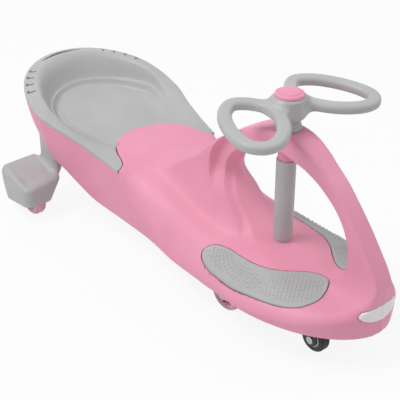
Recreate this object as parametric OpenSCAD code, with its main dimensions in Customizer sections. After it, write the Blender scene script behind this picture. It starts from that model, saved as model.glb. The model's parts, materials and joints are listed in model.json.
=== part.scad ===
// Wiggle car: a ride-on toy that a child drives by swinging its steering wheel.
// X points forward, Y to the rider's left and Z up, with the ground at Z = 0, in millimetres.

/* [Body] */
// Length from the rear rim of the seat to the nose
car_length = 834; // [800:1:900]
// Widest part of the body, at the seat
seat_width = 286; // [260:1:300]
// Width of the deck beside the steering column
deck_width = 258; // [246:1:280]
// Narrowest width of the body, just ahead of the seat
waist_width = 220; // [205:1:240]
// Height of the deck at the steering column
deck_z = 123; // [116:1:135]
// Height of the body's lower edge
skirt_z = 56; // [50:1:64]
// Wall thickness of the mouldings
wall = 3.5; // [2.5:0.1:4.5]

/* [Seat] */
// Height of the seat floor
seat_z = 165; // [155:1:175]
// Height of the seat's rear rim
rim_z = 239; // [225:1:250]
// Depth of the seat's edge above the seam with the body
rim_depth = 9; // [7:0.5:12]
// Width of the seat's flat rim at the rear
rim_width = 28; // [22:1:34]
// Width of the hand slot in the rear rim
grip_width = 92; // [70:1:110]

/* [Arch] */
// Height of the top of the arch that carries the column
arch_z = 318; // [300:1:330]
// Width of the arch across its top
arch_width = 44; // [40:1:56]
// Thickness of the arch over the column
arch_thick = 34; // [28:1:40]
// Diameter of the boss under the arch
boss_d = 27; // [26:0.5:32]
// Lower end of the boss under the arch
boss_z = 266; // [255:1:275]

/* [Steering] */
// Distance of the steering axis behind the nose
column_inset = 210; // [204:1:218]
// Diameter of the steel steering shaft
shaft_d = 14; // [12:0.5:16]
// Diameter of the sleeve round the shaft
sleeve_d = 31; // [28:0.5:36]
// Height of the steering wheel's rim at the steering axis
wheel_z = 348; // [340:1:356]
// Forward tilt of the steering wheel in degrees
wheel_tilt = 4; // [0:0.5:8]
// Thickness of the steering wheel's rim
grip_d = 24; // [20:0.5:27]
// Diameter of the cap on the steering wheel
cap_d = 45; // [38:1:50]
// Distance of the front wheels behind the steering axis
front_trail = 42; // [36:1:46]
// Distance between the middles of the front wheels
front_track = 152; // [146:1:156]

/* [Road wheels] */
// Diameter of the rear and front wheels
tyre_d = 62; // [56:1:64]
// Width of the rear and front wheels
tyre_w = 20; // [16:1:22]
// Diameter of their hubs
hub_d = 40; // [34:1:44]
// Diameter of their ball bearings
bearing_d = 22; // [19:1:24]
// Diameter of their axles
axle_d = 10; // [8:0.5:11]
// Distance of the rear wheels ahead of the rear end
rear_wheel_inset = 123; // [114:1:132]
// Distance between the middles of the rear wheels
rear_track = 302; // [298:1:310]

/* [Nose wheels] */
// Diameter of the guide wheels under the nose
nose_tyre_d = 46; // [40:1:48]
// Width of the nose wheels
nose_tyre_w = 18; // [14:1:20]
// Diameter of the nose wheels' hubs
nose_hub_d = 28; // [22:1:32]
// Diameter of the nose wheels' axles
nose_axle_d = 7; // [6:0.5:8]
// Distance of the nose wheels ahead of the steering axis
nose_wheel_lead = 128; // [126:1:134]
// Distance between the middles of the nose wheels
nose_track = 102; // [96:1:106]
// Height of the nose wheels above the ground
nose_lift = 5; // [3:0.5:9]

/* [Fits] */
// Gap between a turning part and its pin, on the radius
running_gap = 0.06; // [0.02:0.01:0.1]
// Gap between a turning part's face and its neighbour
side_gap = 0.4; // [0.3:0.05:0.8]
// Gap between two mouldings that are screwed together
seam_gap = 0.3; // [0.2:0.05:0.6]

/* [Hidden] */

RIGHT = -1;
LEFT = 1;
PINK = [0.94, 0.62, 0.72];
CLEAR_PINK = [0.97, 0.70, 0.78];
GREY = [0.72, 0.73, 0.73];
DARK = [0.16, 0.16, 0.17];
STEEL = [0.62, 0.63, 0.65];
WHITE = [0.95, 0.95, 0.95];
$fn = 64;
tiny = 0.01;

// Main places along the car
nose_x = car_length / 2;
rear_x = -car_length / 2;
seat_x = rear_x + 161;
horn_x = seat_x + 175;
tongue_x = seat_x + 81;
column_x = nose_x - column_inset;
deck_x = column_x + 17;
axle_z = tyre_d / 2;
rear_axle_x = rear_x + rear_wheel_inset;

// Place at share t of the way from the seat's horns to the steering axis
function middle(t) = horn_x + (column_x - horn_x) * t;

// Smooth curve through the points k = [[x, value], ...], level beyond its ends
function slope(k, i) =
    let (a = max(i - 1, 0), b = min(i + 1, len(k) - 1))
    (k[b][1] - k[a][1]) / (k[b][0] - k[a][0]);
function span(k, x, i = 0) = i >= len(k) - 2 || x < k[i + 1][0] ? i : span(k, x, i + 1);
function curve(k, x0) =
    let (x = min(max(x0, k[0][0]), k[len(k) - 1][0]), i = span(k, x),
         h = k[i + 1][0] - k[i][0], t = (x - k[i][0]) / h)
    (2 * t ^ 3 - 3 * t ^ 2 + 1) * k[i][1] + (t ^ 3 - 2 * t ^ 2 + t) * h * slope(k, i)
    + (3 * t ^ 2 - 2 * t ^ 3) * k[i + 1][1] + (t ^ 3 - t ^ 2) * h * slope(k, i + 1);

// Closed smooth curve through plan points, with n points for each stretch
function loop_point(p, i, t) =
    let (c = len(p), a = p[(i + c - 1) % c], b = p[i % c], d = p[(i + 1) % c], e = p[(i + 2) % c])
    0.5 * (2 * b + (d - a) * t + (2 * a - 5 * b + 4 * d - e) * t ^ 2 + (3 * b - a - 3 * d + e) * t ^ 3);
function smooth_loop(p, n) = [for (i = [0:len(p) - 1], j = [0:n - 1]) loop_point(p, i, j / n)];

// Quarter of a rounded end: half-width at share t of its length
function rounded_end(t, n) = t >= 1 ? 0 : (1 - max(t, 0) ^ n) ^ (1 / n);

// Half-width of the body at its shoulder, which is the seat's edge at the rear
nose_power = 1.9;
shoulder_keys = [[seat_x, seat_width / 2], [seat_x + 46, seat_width / 2 - 7],
    [seat_x + 92, waist_width / 2 + 13], [horn_x, waist_width / 2], [middle(0.25), waist_width / 2 + 2],
    [middle(0.535), deck_width / 2 - 12], [middle(0.8), deck_width / 2 - 4], [deck_x, deck_width / 2]];
function shoulder_y(x) =
    x < seat_x ? seat_width / 2 * rounded_end((seat_x - x) / (seat_x - rear_x), 2)
    : x > deck_x ? deck_width / 2 * rounded_end((x - deck_x) / (nose_x - deck_x), nose_power)
    : curve(shoulder_keys, x);

// Height of the shoulder, which runs along the seam under the seat at the rear
rim_keys = [[rear_x, rim_z], [rear_x + 34, rim_z - 5], [rear_x + 99, rim_z - 15], [seat_x, rim_z - 29],
    [seat_x + 46, rim_z - 39], [seat_x + 92, seat_z + 22], [horn_x, seat_z - 1]];
function rim_top(x) = curve(rim_keys, x);
function seam_z(x) = rim_top(x) - rim_depth;
shoulder_keys_z = [[horn_x, rim_top(horn_x)], [middle(0.25), deck_z + 15], [middle(0.39), deck_z + 3],
    [middle(0.535), deck_z - 12], [middle(0.71), deck_z - 24], [middle(0.92), deck_z - 32],
    [column_x + 40, deck_z - 36], [column_x + 117, deck_z - 34], [nose_x - 48, deck_z - 27],
    [nose_x - 22, deck_z - 21], [nose_x, deck_z - 18]];
function shoulder_z(x) = x < horn_x ? rim_top(x) : curve(shoulder_keys_z, x);

// Half-width and height of the lower edge
skirt_end = nose_x - 2;
rear_tuck = 25;
front_tuck = 10;
skirt_keys = [[seat_x, seat_width / 2 - rear_tuck], [seat_x + 50, waist_width / 2 - 4],
    [seat_x + 102, waist_width / 2 - 12], [horn_x, waist_width / 2 - 15],
    [middle(0.25), waist_width / 2 - 12], [middle(0.54), deck_width / 2 - 17],
    [middle(0.8), deck_width / 2 - front_tuck - 2], [deck_x, deck_width / 2 - front_tuck]];
function skirt_y(x) =
    x < seat_x ? (seat_width / 2 - rear_tuck) * rounded_end((seat_x - x) / (seat_x - rear_x - 6), 2)
    : x > deck_x ?
        (deck_width / 2 - front_tuck) * rounded_end((x - deck_x) / (skirt_end - deck_x), nose_power)
    : curve(skirt_keys, x);
skirt_keys_z = [[rear_x, rim_z - rim_depth - 18], [rear_x + 40, skirt_z + 122], [rear_x + 87, skirt_z + 88],
    [rear_x + 138, skirt_z + 66], [rear_x + 173, skirt_z + 49], [rear_x + 212, skirt_z + 24],
    [rear_x + 252, skirt_z + 6], [horn_x, skirt_z + 1], [middle(0.1), skirt_z], [middle(0.2), skirt_z],
    [deck_x, skirt_z], [nose_x - 36, skirt_z], [nose_x - 12, skirt_z], [skirt_end, skirt_z + 1],
    [nose_x, skirt_z + 6]];
function skirt_edge(x) = curve(skirt_keys_z, x);

// Height of the top along the middle: the deck alone, and the crest with the arch on it
dip_x = tongue_x - 25;
deck_keys = [[dip_x, rim_top(dip_x)], [tongue_x - 6, seat_z + 6], [tongue_x + 30, seat_z + 5],
    [horn_x, seat_z + 3], [middle(0.16), deck_z + 37], [middle(0.39), deck_z + 17],
    [middle(0.535), deck_z + 7], [middle(0.71), deck_z + 2], [column_x, deck_z],
    [column_x + 87, deck_z - 8], [nose_x - 48, deck_z - 14], [nose_x - 18, deck_z - 18],
    [nose_x, deck_z - 22]];
function deck_top(x) = x < dip_x ? rim_top(x) : curve(deck_keys, x);
crest_keys = [[dip_x, rim_top(dip_x)], [tongue_x - 6, seat_z + 6], [horn_x, seat_z + 3],
    [middle(0.125), seat_z + 5], [middle(0.27), seat_z + 17], [middle(0.405), seat_z + 20],
    [middle(0.535), seat_z + 6], [middle(0.65), deck_z + 26], [middle(0.79), deck_z + 8],
    [middle(0.9), deck_z + 1], [column_x, deck_z], [column_x + 87, deck_z - 7], [column_x + 118, deck_z - 4],
    [column_x + 136, deck_z + 12], [column_x + 150, deck_z + 42], [column_x + 166, deck_z + 66],
    [nose_x - 28, deck_z + 56], [nose_x - 15, deck_z + 37], [nose_x - 7, deck_z + 21],
    [nose_x - 2, deck_z + 4], [nose_x, deck_z - 12]];
function crest_top(x) = max(curve(crest_keys, x), deck_top(x));

// One half of the body's cross-section at x, from the lower edge over the shoulder to the crest
shoulder_r = 17;
corner_r = 9;
function flare(x) = curve([[column_x, 30], [nose_x - 40, 44], [nose_x, 44]], x);
function shoulder_round(x) = min(shoulder_r, 4 + 0.25 * max(x - horn_x, 0),
    0.45 * max(shoulder_z(x) - skirt_edge(x), 0) + 1, 0.19 * shoulder_y(x) + tiny);
function outer_half(x) =
    let (w = max(shoulder_y(x), 1), wb = max(skirt_y(x), 0.8), r = shoulder_round(x), zs = shoulder_z(x),
         zd = deck_top(x), top = crest_top(x) + 0.4, rise = top - zd, foot = min(skirt_edge(x), zs - r - 1),
         f = min(arch_width / 2 - 4, 0.4 * w), fy = min(flare(x), 0.38 * w), fz = min(flare(x), 0.6 * rise),
         cy = min(corner_r, f / 2), cz = min(corner_r, 0.3 * rise), edge = w - r)
    concat(
        [for (s = [0, 1 / 3, 2 / 3]) [wb + (w - wb) * (1.6 * s - 0.6 * s ^ 2), foot + (zs - r - foot) * s]],
        [for (a = [0, 30, 60]) [edge + r * cos(a), zs - r + r * sin(a)]],
        [for (t = [0:3]) let (y = edge + (f + fy - edge) * t / 3) [y, zd - (zd - zs) * (y / edge) ^ 2]],
        [for (a = [30, 60, 90]) [f + fy - fy * sin(a), zd - (zd - zs) * (f / edge) ^ 2 + fz * (1 - cos(a))]],
        [for (a = [0, 45, 90]) [f - cy + cy * cos(a), top - cz + cz * sin(a)]]);

// The same for the hollow inside, which is open below and stays under the seat's ledge
function ceiling_drop(x) = wall + (rim_depth + seam_gap) * min(max((horn_x + 16 - x) / 10, 0), 1);
function hollow_floor(x) = skirt_edge(x) + (x < rear_x + 25 || x > skirt_end - 8 ? wall : -60);
end_inset = 2 * wall;
function reach(x) = x > deck_x ? x + end_inset * (x - deck_x) / (nose_x - end_inset - deck_x)
    : x < seat_x ? x - end_inset * (seat_x - x) / (seat_x - end_inset - rear_x) : x;
function hollow_half(x) =
    let (q = reach(x), w = max(shoulder_y(q) - wall, 1), wb = max(skirt_y(q) - wall, 0.8),
         r = shoulder_round(q), zs = shoulder_z(q) - ceiling_drop(q), zd = deck_top(q) - ceiling_drop(q),
         foot = min(hollow_floor(q), zs - r - 1), low = min(max(skirt_edge(q) - wall, foot + 0.5), zs - r - 0.5))
    [[wb, foot], [wb + tiny, low], [w, zs - r], [w - 0.3 * r, zs - 0.3 * r], [w - r, zs],
        [w / 2, zd - (zd - zs) / 3], [w / 8, zd]];
function whole(x, half) = concat([for (p = half) [x, p[0], p[1]]],
    [for (i = [len(half) - 1:-1:0]) [x, -half[i][0], half[i][1]]]);

// Places of the cross-sections, closer together at the two ends
function stations(a, b) = concat(
    [for (t = [0:7]) seat_x - (seat_x - a) * cos(90 * t / 8)],
    [for (t = [0:25]) seat_x + (deck_x - seat_x) * t / 26],
    [for (t = [0:11]) deck_x + (b - deck_x) * sin(90 * t / 11)]);

// Closed solid through rows of points that each go once round it
module loft(rows) {
    n = len(rows[0]);
    last = len(rows) - 1;
    polyhedron(points = [for (r = rows, p = r) p], convexity = 8, faces = concat(
        [[for (j = [0:n - 1]) j]],
        [for (i = [0:last - 1], j = [0:n - 1]) let (k = (j + 1) % n)
            each [[i * n + j, (i + 1) * n + j, i * n + k], [i * n + k, (i + 1) * n + j, (i + 1) * n + k]]],
        [[for (j = [n - 1:-1:0]) last * n + j]]));
}

// Sheet over a grid of points, as thick as the vector t
module sheet(grid, t) {
    n = len(grid[0]);
    last = len(grid) - 1;
    low = n * len(grid);
    polyhedron(points = concat([for (r = grid, p = r) p + t], [for (r = grid, p = r) p]), convexity = 4,
        faces = concat(
            [for (i = [0:last - 1], j = [0:n - 2]) let (a = i * n + j, b = a + n)
                each [[a, b, a + 1], [a + 1, b, b + 1],
                    [low + a, low + a + 1, low + b], [low + a + 1, low + b + 1, low + b]]],
            [for (i = [0:last - 1]) let (a = i * n, b = a + n, c = a + n - 1, d = b + n - 1)
                each [[b, a, low + a, low + b], [c, d, low + d, low + c]]],
            [for (j = [0:n - 2]) let (b = last * n + j)
                each [[j, j + 1, low + j + 1, low + j], [b + 1, b, low + b, low + b + 1]]]));
}

body_places = stations(rear_x + 0.5, nose_x - 0.3);
hollow_places = stations(rear_x + end_inset + 0.5, nose_x - end_inset - 0.3);
module body_form() loft([for (x = body_places) whole(x, outer_half(x))]);
module body_hollow() loft([for (x = hollow_places) whole(x, hollow_half(x))]);

// Joins what it is given into one moulded skin and keeps its size
module moulded() resize([0, 0, 0]) children();

// Extrudes an outline drawn in X and Z across the car, w wide
module across(w) rotate([90, 0, 0]) linear_extrude(w, center = true) children();

// Arch over the window: rows of outer edge, inner edge and the half-widths at the outer edge, the middle
// and the inner edge, from the foot of the rear leg to the nose
function arch_point(t) = [for (c = [0:6]) curve([for (i = [0:len(arch_keys) - 1]) [i, arch_keys[i][c]]], t)];
arch_low = arch_z - arch_thick;
arch_half = arch_width / 2;
arch_keys = [
    [middle(0.19), seat_z - 8, middle(0.86), deck_z - 4, arch_half, arch_half + 8, arch_half - 12],
    [middle(0.285), arch_z - 129, middle(0.735), deck_z + 35, arch_half - 2, arch_half + 8, arch_half - 12],
    [middle(0.405), arch_z - 101, middle(0.665), deck_z + 61, arch_half - 3, arch_half + 8, arch_half - 12],
    [middle(0.47), arch_z - 81, middle(0.64), deck_z + 81, arch_half - 3, arch_half + 7, arch_half - 12],
    [middle(0.56), arch_z - 58, middle(0.65), deck_z + 99, arch_half - 2, arch_half + 5, arch_half - 11],
    [middle(0.655), arch_z - 40, middle(0.69), arch_low - 46, arch_half, arch_half + 3, arch_half - 9],
    [middle(0.735), arch_z - 26, middle(0.75), arch_low - 30, arch_half + 1, arch_half + 2, arch_half - 6],
    [middle(0.85), arch_z - 9, middle(0.86), arch_low - 9, arch_half + 2, arch_half + 2, arch_half - 2],
    [column_x, arch_z, column_x, arch_low, arch_half + 2, arch_half + 2, arch_half - 1],
    [column_x + 34, arch_z - 3, column_x + 28, arch_low - 2, arch_half + 2, arch_half + 2, arch_half - 1],
    [column_x + 67, arch_z - 17, column_x + 56, arch_low - 10, arch_half - 1, arch_half - 1, arch_half - 3],
    [column_x + 91, arch_z - 34, column_x + 77, arch_low - 21, arch_half - 4, arch_half - 3, arch_half - 4],
    [column_x + 112, arch_z - 50, column_x + 97, arch_low - 35, arch_half - 5, arch_half - 4, arch_half - 5],
    [column_x + 133, arch_z - 69, column_x + 116, arch_low - 52, arch_half - 6, arch_half - 5, arch_half - 6],
    [column_x + 150, arch_z - 90, column_x + 132, arch_low - 74, arch_half - 6, arch_half - 5, arch_half - 6],
    [column_x + 168, arch_z - 113, column_x + 143, deck_z + 60, arch_half - 5, arch_half - 5, arch_half - 6],
    [nose_x - 28, arch_z - 136, column_x + 146, deck_z + 33, arch_half - 4, arch_half - 5, arch_half - 6],
    [nose_x - 15, deck_z + 39, column_x + 142, deck_z + 6, arch_half - 3, arch_half - 5, arch_half - 6]];
arch_shares = [0, 0.03, 0.1, 0.25, 0.4, 0.55, 0.7, 0.85, 0.95, 1];
module arch() loft([for (t = [0:0.5:len(arch_keys) - 1])
    let (k = arch_point(t),
         side = [[0, 0.72 * k[4]], [0.1, k[4]], [0.4, k[5]], [0.9, k[6]], [1, 0.75 * k[6]]],
         row = [for (u = arch_shares) [k[0] + (k[2] - k[0]) * u, curve(side, u), k[1] + (k[3] - k[1]) * u]])
    concat([for (i = [len(row) - 1:-1:0]) row[i]], [for (p = row) [p[0], -p[1], p[2]]])]);

// Plan outline of the seat, drawn in by d at the rear and by e at the sides, and the body's tongue in it
function seat_side(d, e) = concat(
    [for (a = [5:10:85]) [seat_x - (seat_x - rear_x - d) * cos(a), (seat_width / 2 - e) * sin(a)]],
    [for (t = [0:9]) let (x = seat_x + (horn_x - seat_x) * t / 9) [x, shoulder_y(x) - e]]);
function seat_outline(d, e) = let (s = seat_side(d, e))
    concat([for (i = [len(s) - 1:-1:0]) s[i]], [for (p = s) [p[0], -p[1]]]);
module seat_plan(d) polygon(seat_outline(d, d));
tongue_w = 192;
module tongue_plan(d) translate([horn_x + 4, 0]) scale([2 * (horn_x + 4 - tongue_x) / tongue_w, 1])
    circle(d = tongue_w + 2 * d);

// Everything above the seam between seat and body, raised by lift, up to the height drop below the rim
module seat_band(lift, drop) {
    places = [for (t = [0:14]) rear_x - 6 + (horn_x + 12 - rear_x) * t / 14];
    across(seat_width + 20) polygon(concat(
        [for (x = places) [x, seam_z(x) + lift]],
        [for (i = [len(places) - 1:-1:0]) [places[i], rim_top(places[i]) - drop]]));
}

// Hollow of the seat: rings of its plan outline, each with its height above the sloping floor
floor_slope = 0.17;
bowl_rings = [[0, rim_width + 67, rim_width + 24], [4, rim_width + 50, rim_width + 12],
    [16, rim_width + 31, rim_width + 3], [40, rim_width, rim_width], [rim_z, rim_width, rim_width]];
function bowl_z(x, h) = seat_z + h + floor_slope * max(tongue_x - x, 0);
module bowl(skin) loft([for (r = bowl_rings) [for (p = seat_outline(r[1] - skin, r[2] - skin))
    [p[0], p[1], bowl_z(p[0], r[0]) - skin]]]);
grip_inset = 7;
grip_h = 13;
function outline_x(y) = seat_x - (seat_x - rear_x) * sqrt(1 - (2 * y / seat_width) ^ 2);
grip_end_x = outline_x(grip_width / 2) + grip_inset;
module grip_slot() translate([0, 0, seat_z + 20]) linear_extrude(rim_z - seat_z) polygon(concat(
    [for (t = [-1:0.2:1]) [outline_x(t * grip_width / 2) + grip_inset, t * grip_width / 2]],
    [for (t = [0.8:-0.2:-0.8]) [grip_end_x + (rear_x + grip_inset + grip_h - grip_end_x) * (1 - t ^ 2),
        t * grip_width / 2]]));

// Places of the screws
seat_ledge = 13;
seat_screw_places = [for (t = [0.2, 0.75], s = [RIGHT, LEFT])
    let (x = rear_x + 60 + (horn_x - 120 - rear_x) * t) [x, s * (shoulder_y(x) - seat_ledge / 2 - 1)]];
seat_screw_d = 4;
seat_well = 11;
seat_skin = 3;
function seat_screw_z(x) = seam_z(x) - seam_gap - wall;
front_sweep = norm([front_trail + tyre_d / 2, (front_track + tyre_w) / 2 + 5]);
pan_front_x = column_x - front_sweep - 17;
pan_rear_x = rear_x + 34;
pan_screw_x = [pan_front_x - 20, (pan_front_x + horn_x) / 2 - 30, horn_x - 40];
pan_screw_places = [for (x = pan_screw_x, s = [RIGHT, LEFT]) [x, s * (skirt_y(x) - wall - 6)]];
pan_screw_d = 4;
pan_screw_l = 22;
pan_screw_head = 2.2;
pan_sink = pan_screw_head + seam_gap;
pan_boss_d = 14;
pan_boss_h = 34;
pan_rib = 6;
pan_t = 4;
pan_lift = 5;
function pan_z(x) = skirt_edge(x) + pan_lift;

// Screw with its head below z and its shank going up
module screw(d, length, head_h) {
    translate([0, 0, -head_h]) cylinder(d = 2 * d, h = head_h);
    translate([0, 0, -tiny]) cylinder(d = d, h = length + tiny);
}

// Nose forks
nose_wheel_x = column_x + nose_wheel_lead;
nose_axle_z = nose_tyre_d / 2 + nose_lift;
fork_plate = 3;
fork_gap = nose_tyre_w + 2 * side_gap;
fork_w = fork_gap + 2 * fork_plate;
fork_top = nose_axle_z + nose_tyre_d / 2 + 10;
fork_half = 11;
fork_screw_x = 7;
fork_screw_d = 4;
fork_screw_l = 20;
fork_bridge = 6;
fork_boss_d = 26;

// Steering bushes and bosses
bush_d = shaft_d + 6;
bush_flange = 3;
upper_seat_z = arch_z - 4;
upper_flange_d = 38;
lower_seat_z = deck_z - 2;
lower_flange_d = sleeve_d - 2;
deck_boss_d = bush_d + 14;
washer_t = 4;
carrier_top = axle_z + tyre_d / 2 + 26;
deck_boss_z = carrier_top + washer_t + side_gap;
bush_hole = (bush_d + 2 * seam_gap) / cos(180 / $fn);

module body_shell() color(PINK) moulded() difference() {
    union() {
        difference() {
            body_form();
            difference() {
                body_hollow();
                body_bosses();
            }
        }
        arch();
        translate([column_x, 0, boss_z]) cylinder(d = boss_d, h = arch_z - arch_thick / 2 - boss_z);
    }
    seat_space();
    ledge_opening();
    grip_slot();
    translate([column_x, 0, 0]) {
        cylinder(d = bush_hole, h = arch_z + arch_thick);
        translate([0, 0, upper_seat_z]) cylinder(d = upper_flange_d + 2 * seam_gap, h = arch_thick);
        translate([0, 0, lower_seat_z]) cylinder(d = lower_flange_d + 2 * seam_gap, h = 2 * bush_flange);
    }
    for (p = seat_screw_places) translate([p[0], p[1], seat_screw_z(p[0])]) {
        cylinder(d = seat_screw_d + 1, h = rim_depth + wall, $fn = 24);
        translate([0, 0, -seat_well]) cylinder(d = 2 * seat_screw_d + 1, h = seat_well, $fn = 24);
    }
    for (p = pan_screw_places) translate([p[0], p[1], 0])
        cylinder(d = pan_screw_d + 2 * seam_gap, h = pan_z(p[0]) + pan_boss_h - wall, $fn = 24);
    for (s = [RIGHT, LEFT], e = [-1, 1]) translate([nose_wheel_x + e * fork_screw_x, s * nose_track / 2, 0])
        cylinder(d = fork_screw_d + 2 * seam_gap, h = fork_top + fork_screw_l, $fn = 24);
    badge_pocket();
}

// Space that the seat takes up, with the tongue left standing in it, and the opening inside its ledge
module seat_space() difference() {
    union() {
        intersection() {
            seat_band(-seam_gap, -60);
            linear_extrude(2 * rim_z) seat_plan(-20);
        }
        bowl(wall + seam_gap);
    }
    linear_extrude(2 * rim_z) tongue_plan(0);
}
module ledge_opening() intersection() {
    seat_band(-seam_gap - wall - 8, -60);
    linear_extrude(2 * rim_z) difference() {
        seat_plan(seat_ledge);
        tongue_plan(seat_ledge);
    }
}

// Bosses inside the body, which carry the column, the nose forks and the pan
module body_bosses() {
    translate([column_x, 0, deck_boss_z]) cylinder(d = deck_boss_d, h = deck_z - deck_boss_z, $fn = 32);
    for (s = [RIGHT, LEFT]) translate([nose_wheel_x, s * nose_track / 2, fork_top])
        cylinder(d = fork_boss_d, h = deck_z - fork_top, $fn = 32);
    for (p = pan_screw_places) translate([p[0], p[1], pan_z(p[0] - pan_boss_d / 2) + pan_t + seam_gap]) {
        cylinder(d = pan_boss_d, h = pan_boss_h, $fn = 24);
        translate([-pan_rib / 2, p[1] < 0 ? -seat_width : 0, 0]) cube([pan_rib, seat_width, pan_boss_h]);
    }
}

module underbody_pan() color(PINK) difference() {
    intersection() {
        across(seat_width) pan_profile();
        linear_extrude(rim_z) pan_plan(wall + 4 * seam_gap);
    }
    for (p = pan_screw_places) translate([p[0], p[1], 0]) {
        cylinder(d = pan_screw_d + 2 * seam_gap, h = rim_z);
        cylinder(d = 2 * (pan_screw_d + seam_gap), h = pan_z(p[0]) + pan_sink);
    }
    for (s = [RIGHT, LEFT], e = [-1, 1]) translate([neck_x + e * neck_bolt_x, s * neck_y, 0])
        cylinder(d = neck_bolt_d + 2 * seam_gap, h = rim_z);
}
pan_places = [for (t = [0:16]) pan_front_x + (pan_rear_x - pan_front_x) * t / 16];
module pan_profile() polygon(concat([for (x = pan_places) [x, pan_z(x)]],
    [for (i = [len(pan_places) - 1:-1:0]) [pan_places[i], pan_z(pan_places[i]) + pan_t]]));
module pan_plan(d) polygon(concat([for (x = pan_places) [x, skirt_y(reach(x)) - d]],
    [for (i = [len(pan_places) - 1:-1:0]) [pan_places[i], d - skirt_y(reach(pan_places[i]))]]));

module seat() color(GREY) moulded() difference() {
    union() {
        intersection() {
            seat_band(0, 0);
            linear_extrude(2 * rim_z) seat_plan(0);
        }
        intersection() {
            seat_band(-rim_z, rim_depth / 2);
            bowl(wall);
        }
    }
    bowl(0);
    linear_extrude(2 * rim_z) tongue_plan(seam_gap);
    grip_slot();
    for (p = seat_screw_places) translate([p[0], p[1], skirt_z])
        cylinder(d = seat_screw_d + seam_gap, h = rim_top(p[0]) - seat_skin - skirt_z, $fn = 24);
}

// Foot pads: sheets that lie on the deck, textured on top
pad_t = 2.4;
pad_keys = [for (p = [[-99, -86], [-88, -70], [-66, -67], [-37, -64], [4, -55], [39, -45], [84, -25],
    [110, -12], [127, -26], [134, -56], [126, -80], [108, -94], [84, -107], [46, -117], [8, -121],
    [-42, -115], [-76, -104]]) [column_x + p[0], p[1]]];
pad_places = [for (x = body_places) if (x > column_x - 130 && x < column_x + 150) x];
module foot_pad(side) color(GREY) moulded() intersection() {
    sheet([for (x = pad_places) [for (i = side == LEFT ? [3:11] : [11:-1:3])
        let (p = outer_half(x)[i]) [x, side * p[0], p[1]]]], [0, 0, pad_t]);
    translate([0, 0, skirt_z]) linear_extrude(deck_z) scale([1, -side]) polygon(smooth_loop(pad_keys, 3));
}

// Blank oval plate on the nose, in a shallow pocket
badge_w = 78;
badge_h = 27;
badge_t = 2;
badge_z = deck_z - 26;
badge_bend = 70;
badge_crown = 45;
badge_sink = 2;
module badge_curve(r) translate([nose_x - badge_sink - badge_bend, 0, badge_z]) rotate_extrude($fn = 64)
    intersection() {
        translate([badge_bend - badge_crown, 0]) circle(r = badge_crown + r, $fn = 64);
        translate([0, -badge_h]) square([2 * badge_bend, 2 * badge_h]);
    }
module badge_outline(gap) translate([nose_x - 40, 0, badge_z]) rotate([0, 90, 0]) linear_extrude(60)
    scale([(badge_h + 2 * gap) / (badge_w + 2 * gap), 1]) circle(d = badge_w + 2 * gap);
module badge_pocket() difference() {
    badge_outline(seam_gap);
    badge_curve(0);
}
module nose_badge() color(WHITE) moulded() difference() {
    intersection() {
        badge_outline(0);
        badge_curve(badge_t);
    }
    badge_curve(tiny);
}

// Flanged bush: body up to z = 0, flange above it
module bush(length, flange_d) difference() {
    union() {
        translate([0, 0, -length]) cylinder(d = bush_d, h = length + tiny);
        cylinder(d = flange_d, h = bush_flange);
    }
    translate([0, 0, -length - 1]) cylinder(d = shaft_d + 2 * running_gap, h = length + bush_flange + 2);
}
module upper_steering_bush() color(GREY) translate([column_x, 0, upper_seat_z])
    bush(upper_seat_z - boss_z, upper_flange_d);
module lower_steering_bush() color(GREY) translate([column_x, 0, lower_seat_z])
    bush(lower_seat_z - deck_boss_z, lower_flange_d);

// Rear outriggers: a shoe over each rear wheel, an arm and a neck that bolts up to the pan
shoe_wall = 4;
shoe_shift = 4;
well_gap = 2;
well_d = tyre_d + 2 * well_gap;
well_w = tyre_w + 6;
shoe_half = well_d / 2 + shoe_wall + shoe_shift - 1;
shoe_inner = rear_track / 2 - well_w / 2 - shoe_wall - 3;
shoe_outer = rear_track / 2 + well_w / 2 + shoe_wall + 11;
shoe_low = 22;
shoe_top = tyre_d + 6 + shoe_wall;
shoe_inner_r = 14;
shoe_outer_r = 16;
shoe_draft = 18;
rear_axle_outer = tyre_w / 2 + 7;
neck_x = rear_axle_x - shoe_shift;
neck_w = 26;
neck_half = 24;
neck_clear = 2;
neck_y = skirt_y(reach(neck_x - neck_half)) - wall - neck_clear - neck_w / 2;
neck_bend_z = skirt_edge(neck_x + neck_half) - 6;
neck_bolt_x = 13;
neck_bolt_d = 6;
neck_bolt_l = 40;
neck_bolt_lift = 8;
arm_w = 14;
arm_h = 30;
module shoe_corner(x, y, r) translate([neck_x + x, y, shoe_low]) cylinder(r = r, h = tiny, $fn = 32);
module shoe_crown(x, y, drop, r) translate([neck_x + x, y, shoe_top - drop - r]) sphere(r = r, $fn = 24);
module shoe_form() hull() for (e = [-1, 1]) {
    shoe_corner(e * (shoe_half - shoe_inner_r), shoe_inner + shoe_inner_r, shoe_inner_r);
    shoe_corner(e * (shoe_half - shoe_outer_r), shoe_outer - shoe_outer_r, shoe_outer_r);
    shoe_crown(e * (shoe_half - shoe_draft), shoe_inner + shoe_inner_r, 0, shoe_inner_r);
    shoe_crown(e * (shoe_half - shoe_draft), shoe_outer - shoe_outer_r - 1, 2, shoe_outer_r);
}
module neck_slab(z, h) translate([neck_x - neck_half, neck_y - neck_w / 2, z])
    cube([2 * neck_half, neck_w, h]);
module neck_form() {
    neck_slab(neck_bend_z - 1, rim_z);
    hull() {
        neck_slab(neck_bend_z - 2, 2);
        translate([neck_x - neck_half, shoe_inner + 2, shoe_top - arm_h - 4])
            cube([2 * neck_half, arm_w, arm_h]);
    }
}
module below_pan() across(2 * rear_track) polygon(concat([for (x = pan_places) [x, pan_z(x)]],
    [[pan_rear_x, 0], [pan_front_x, 0]]));
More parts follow.
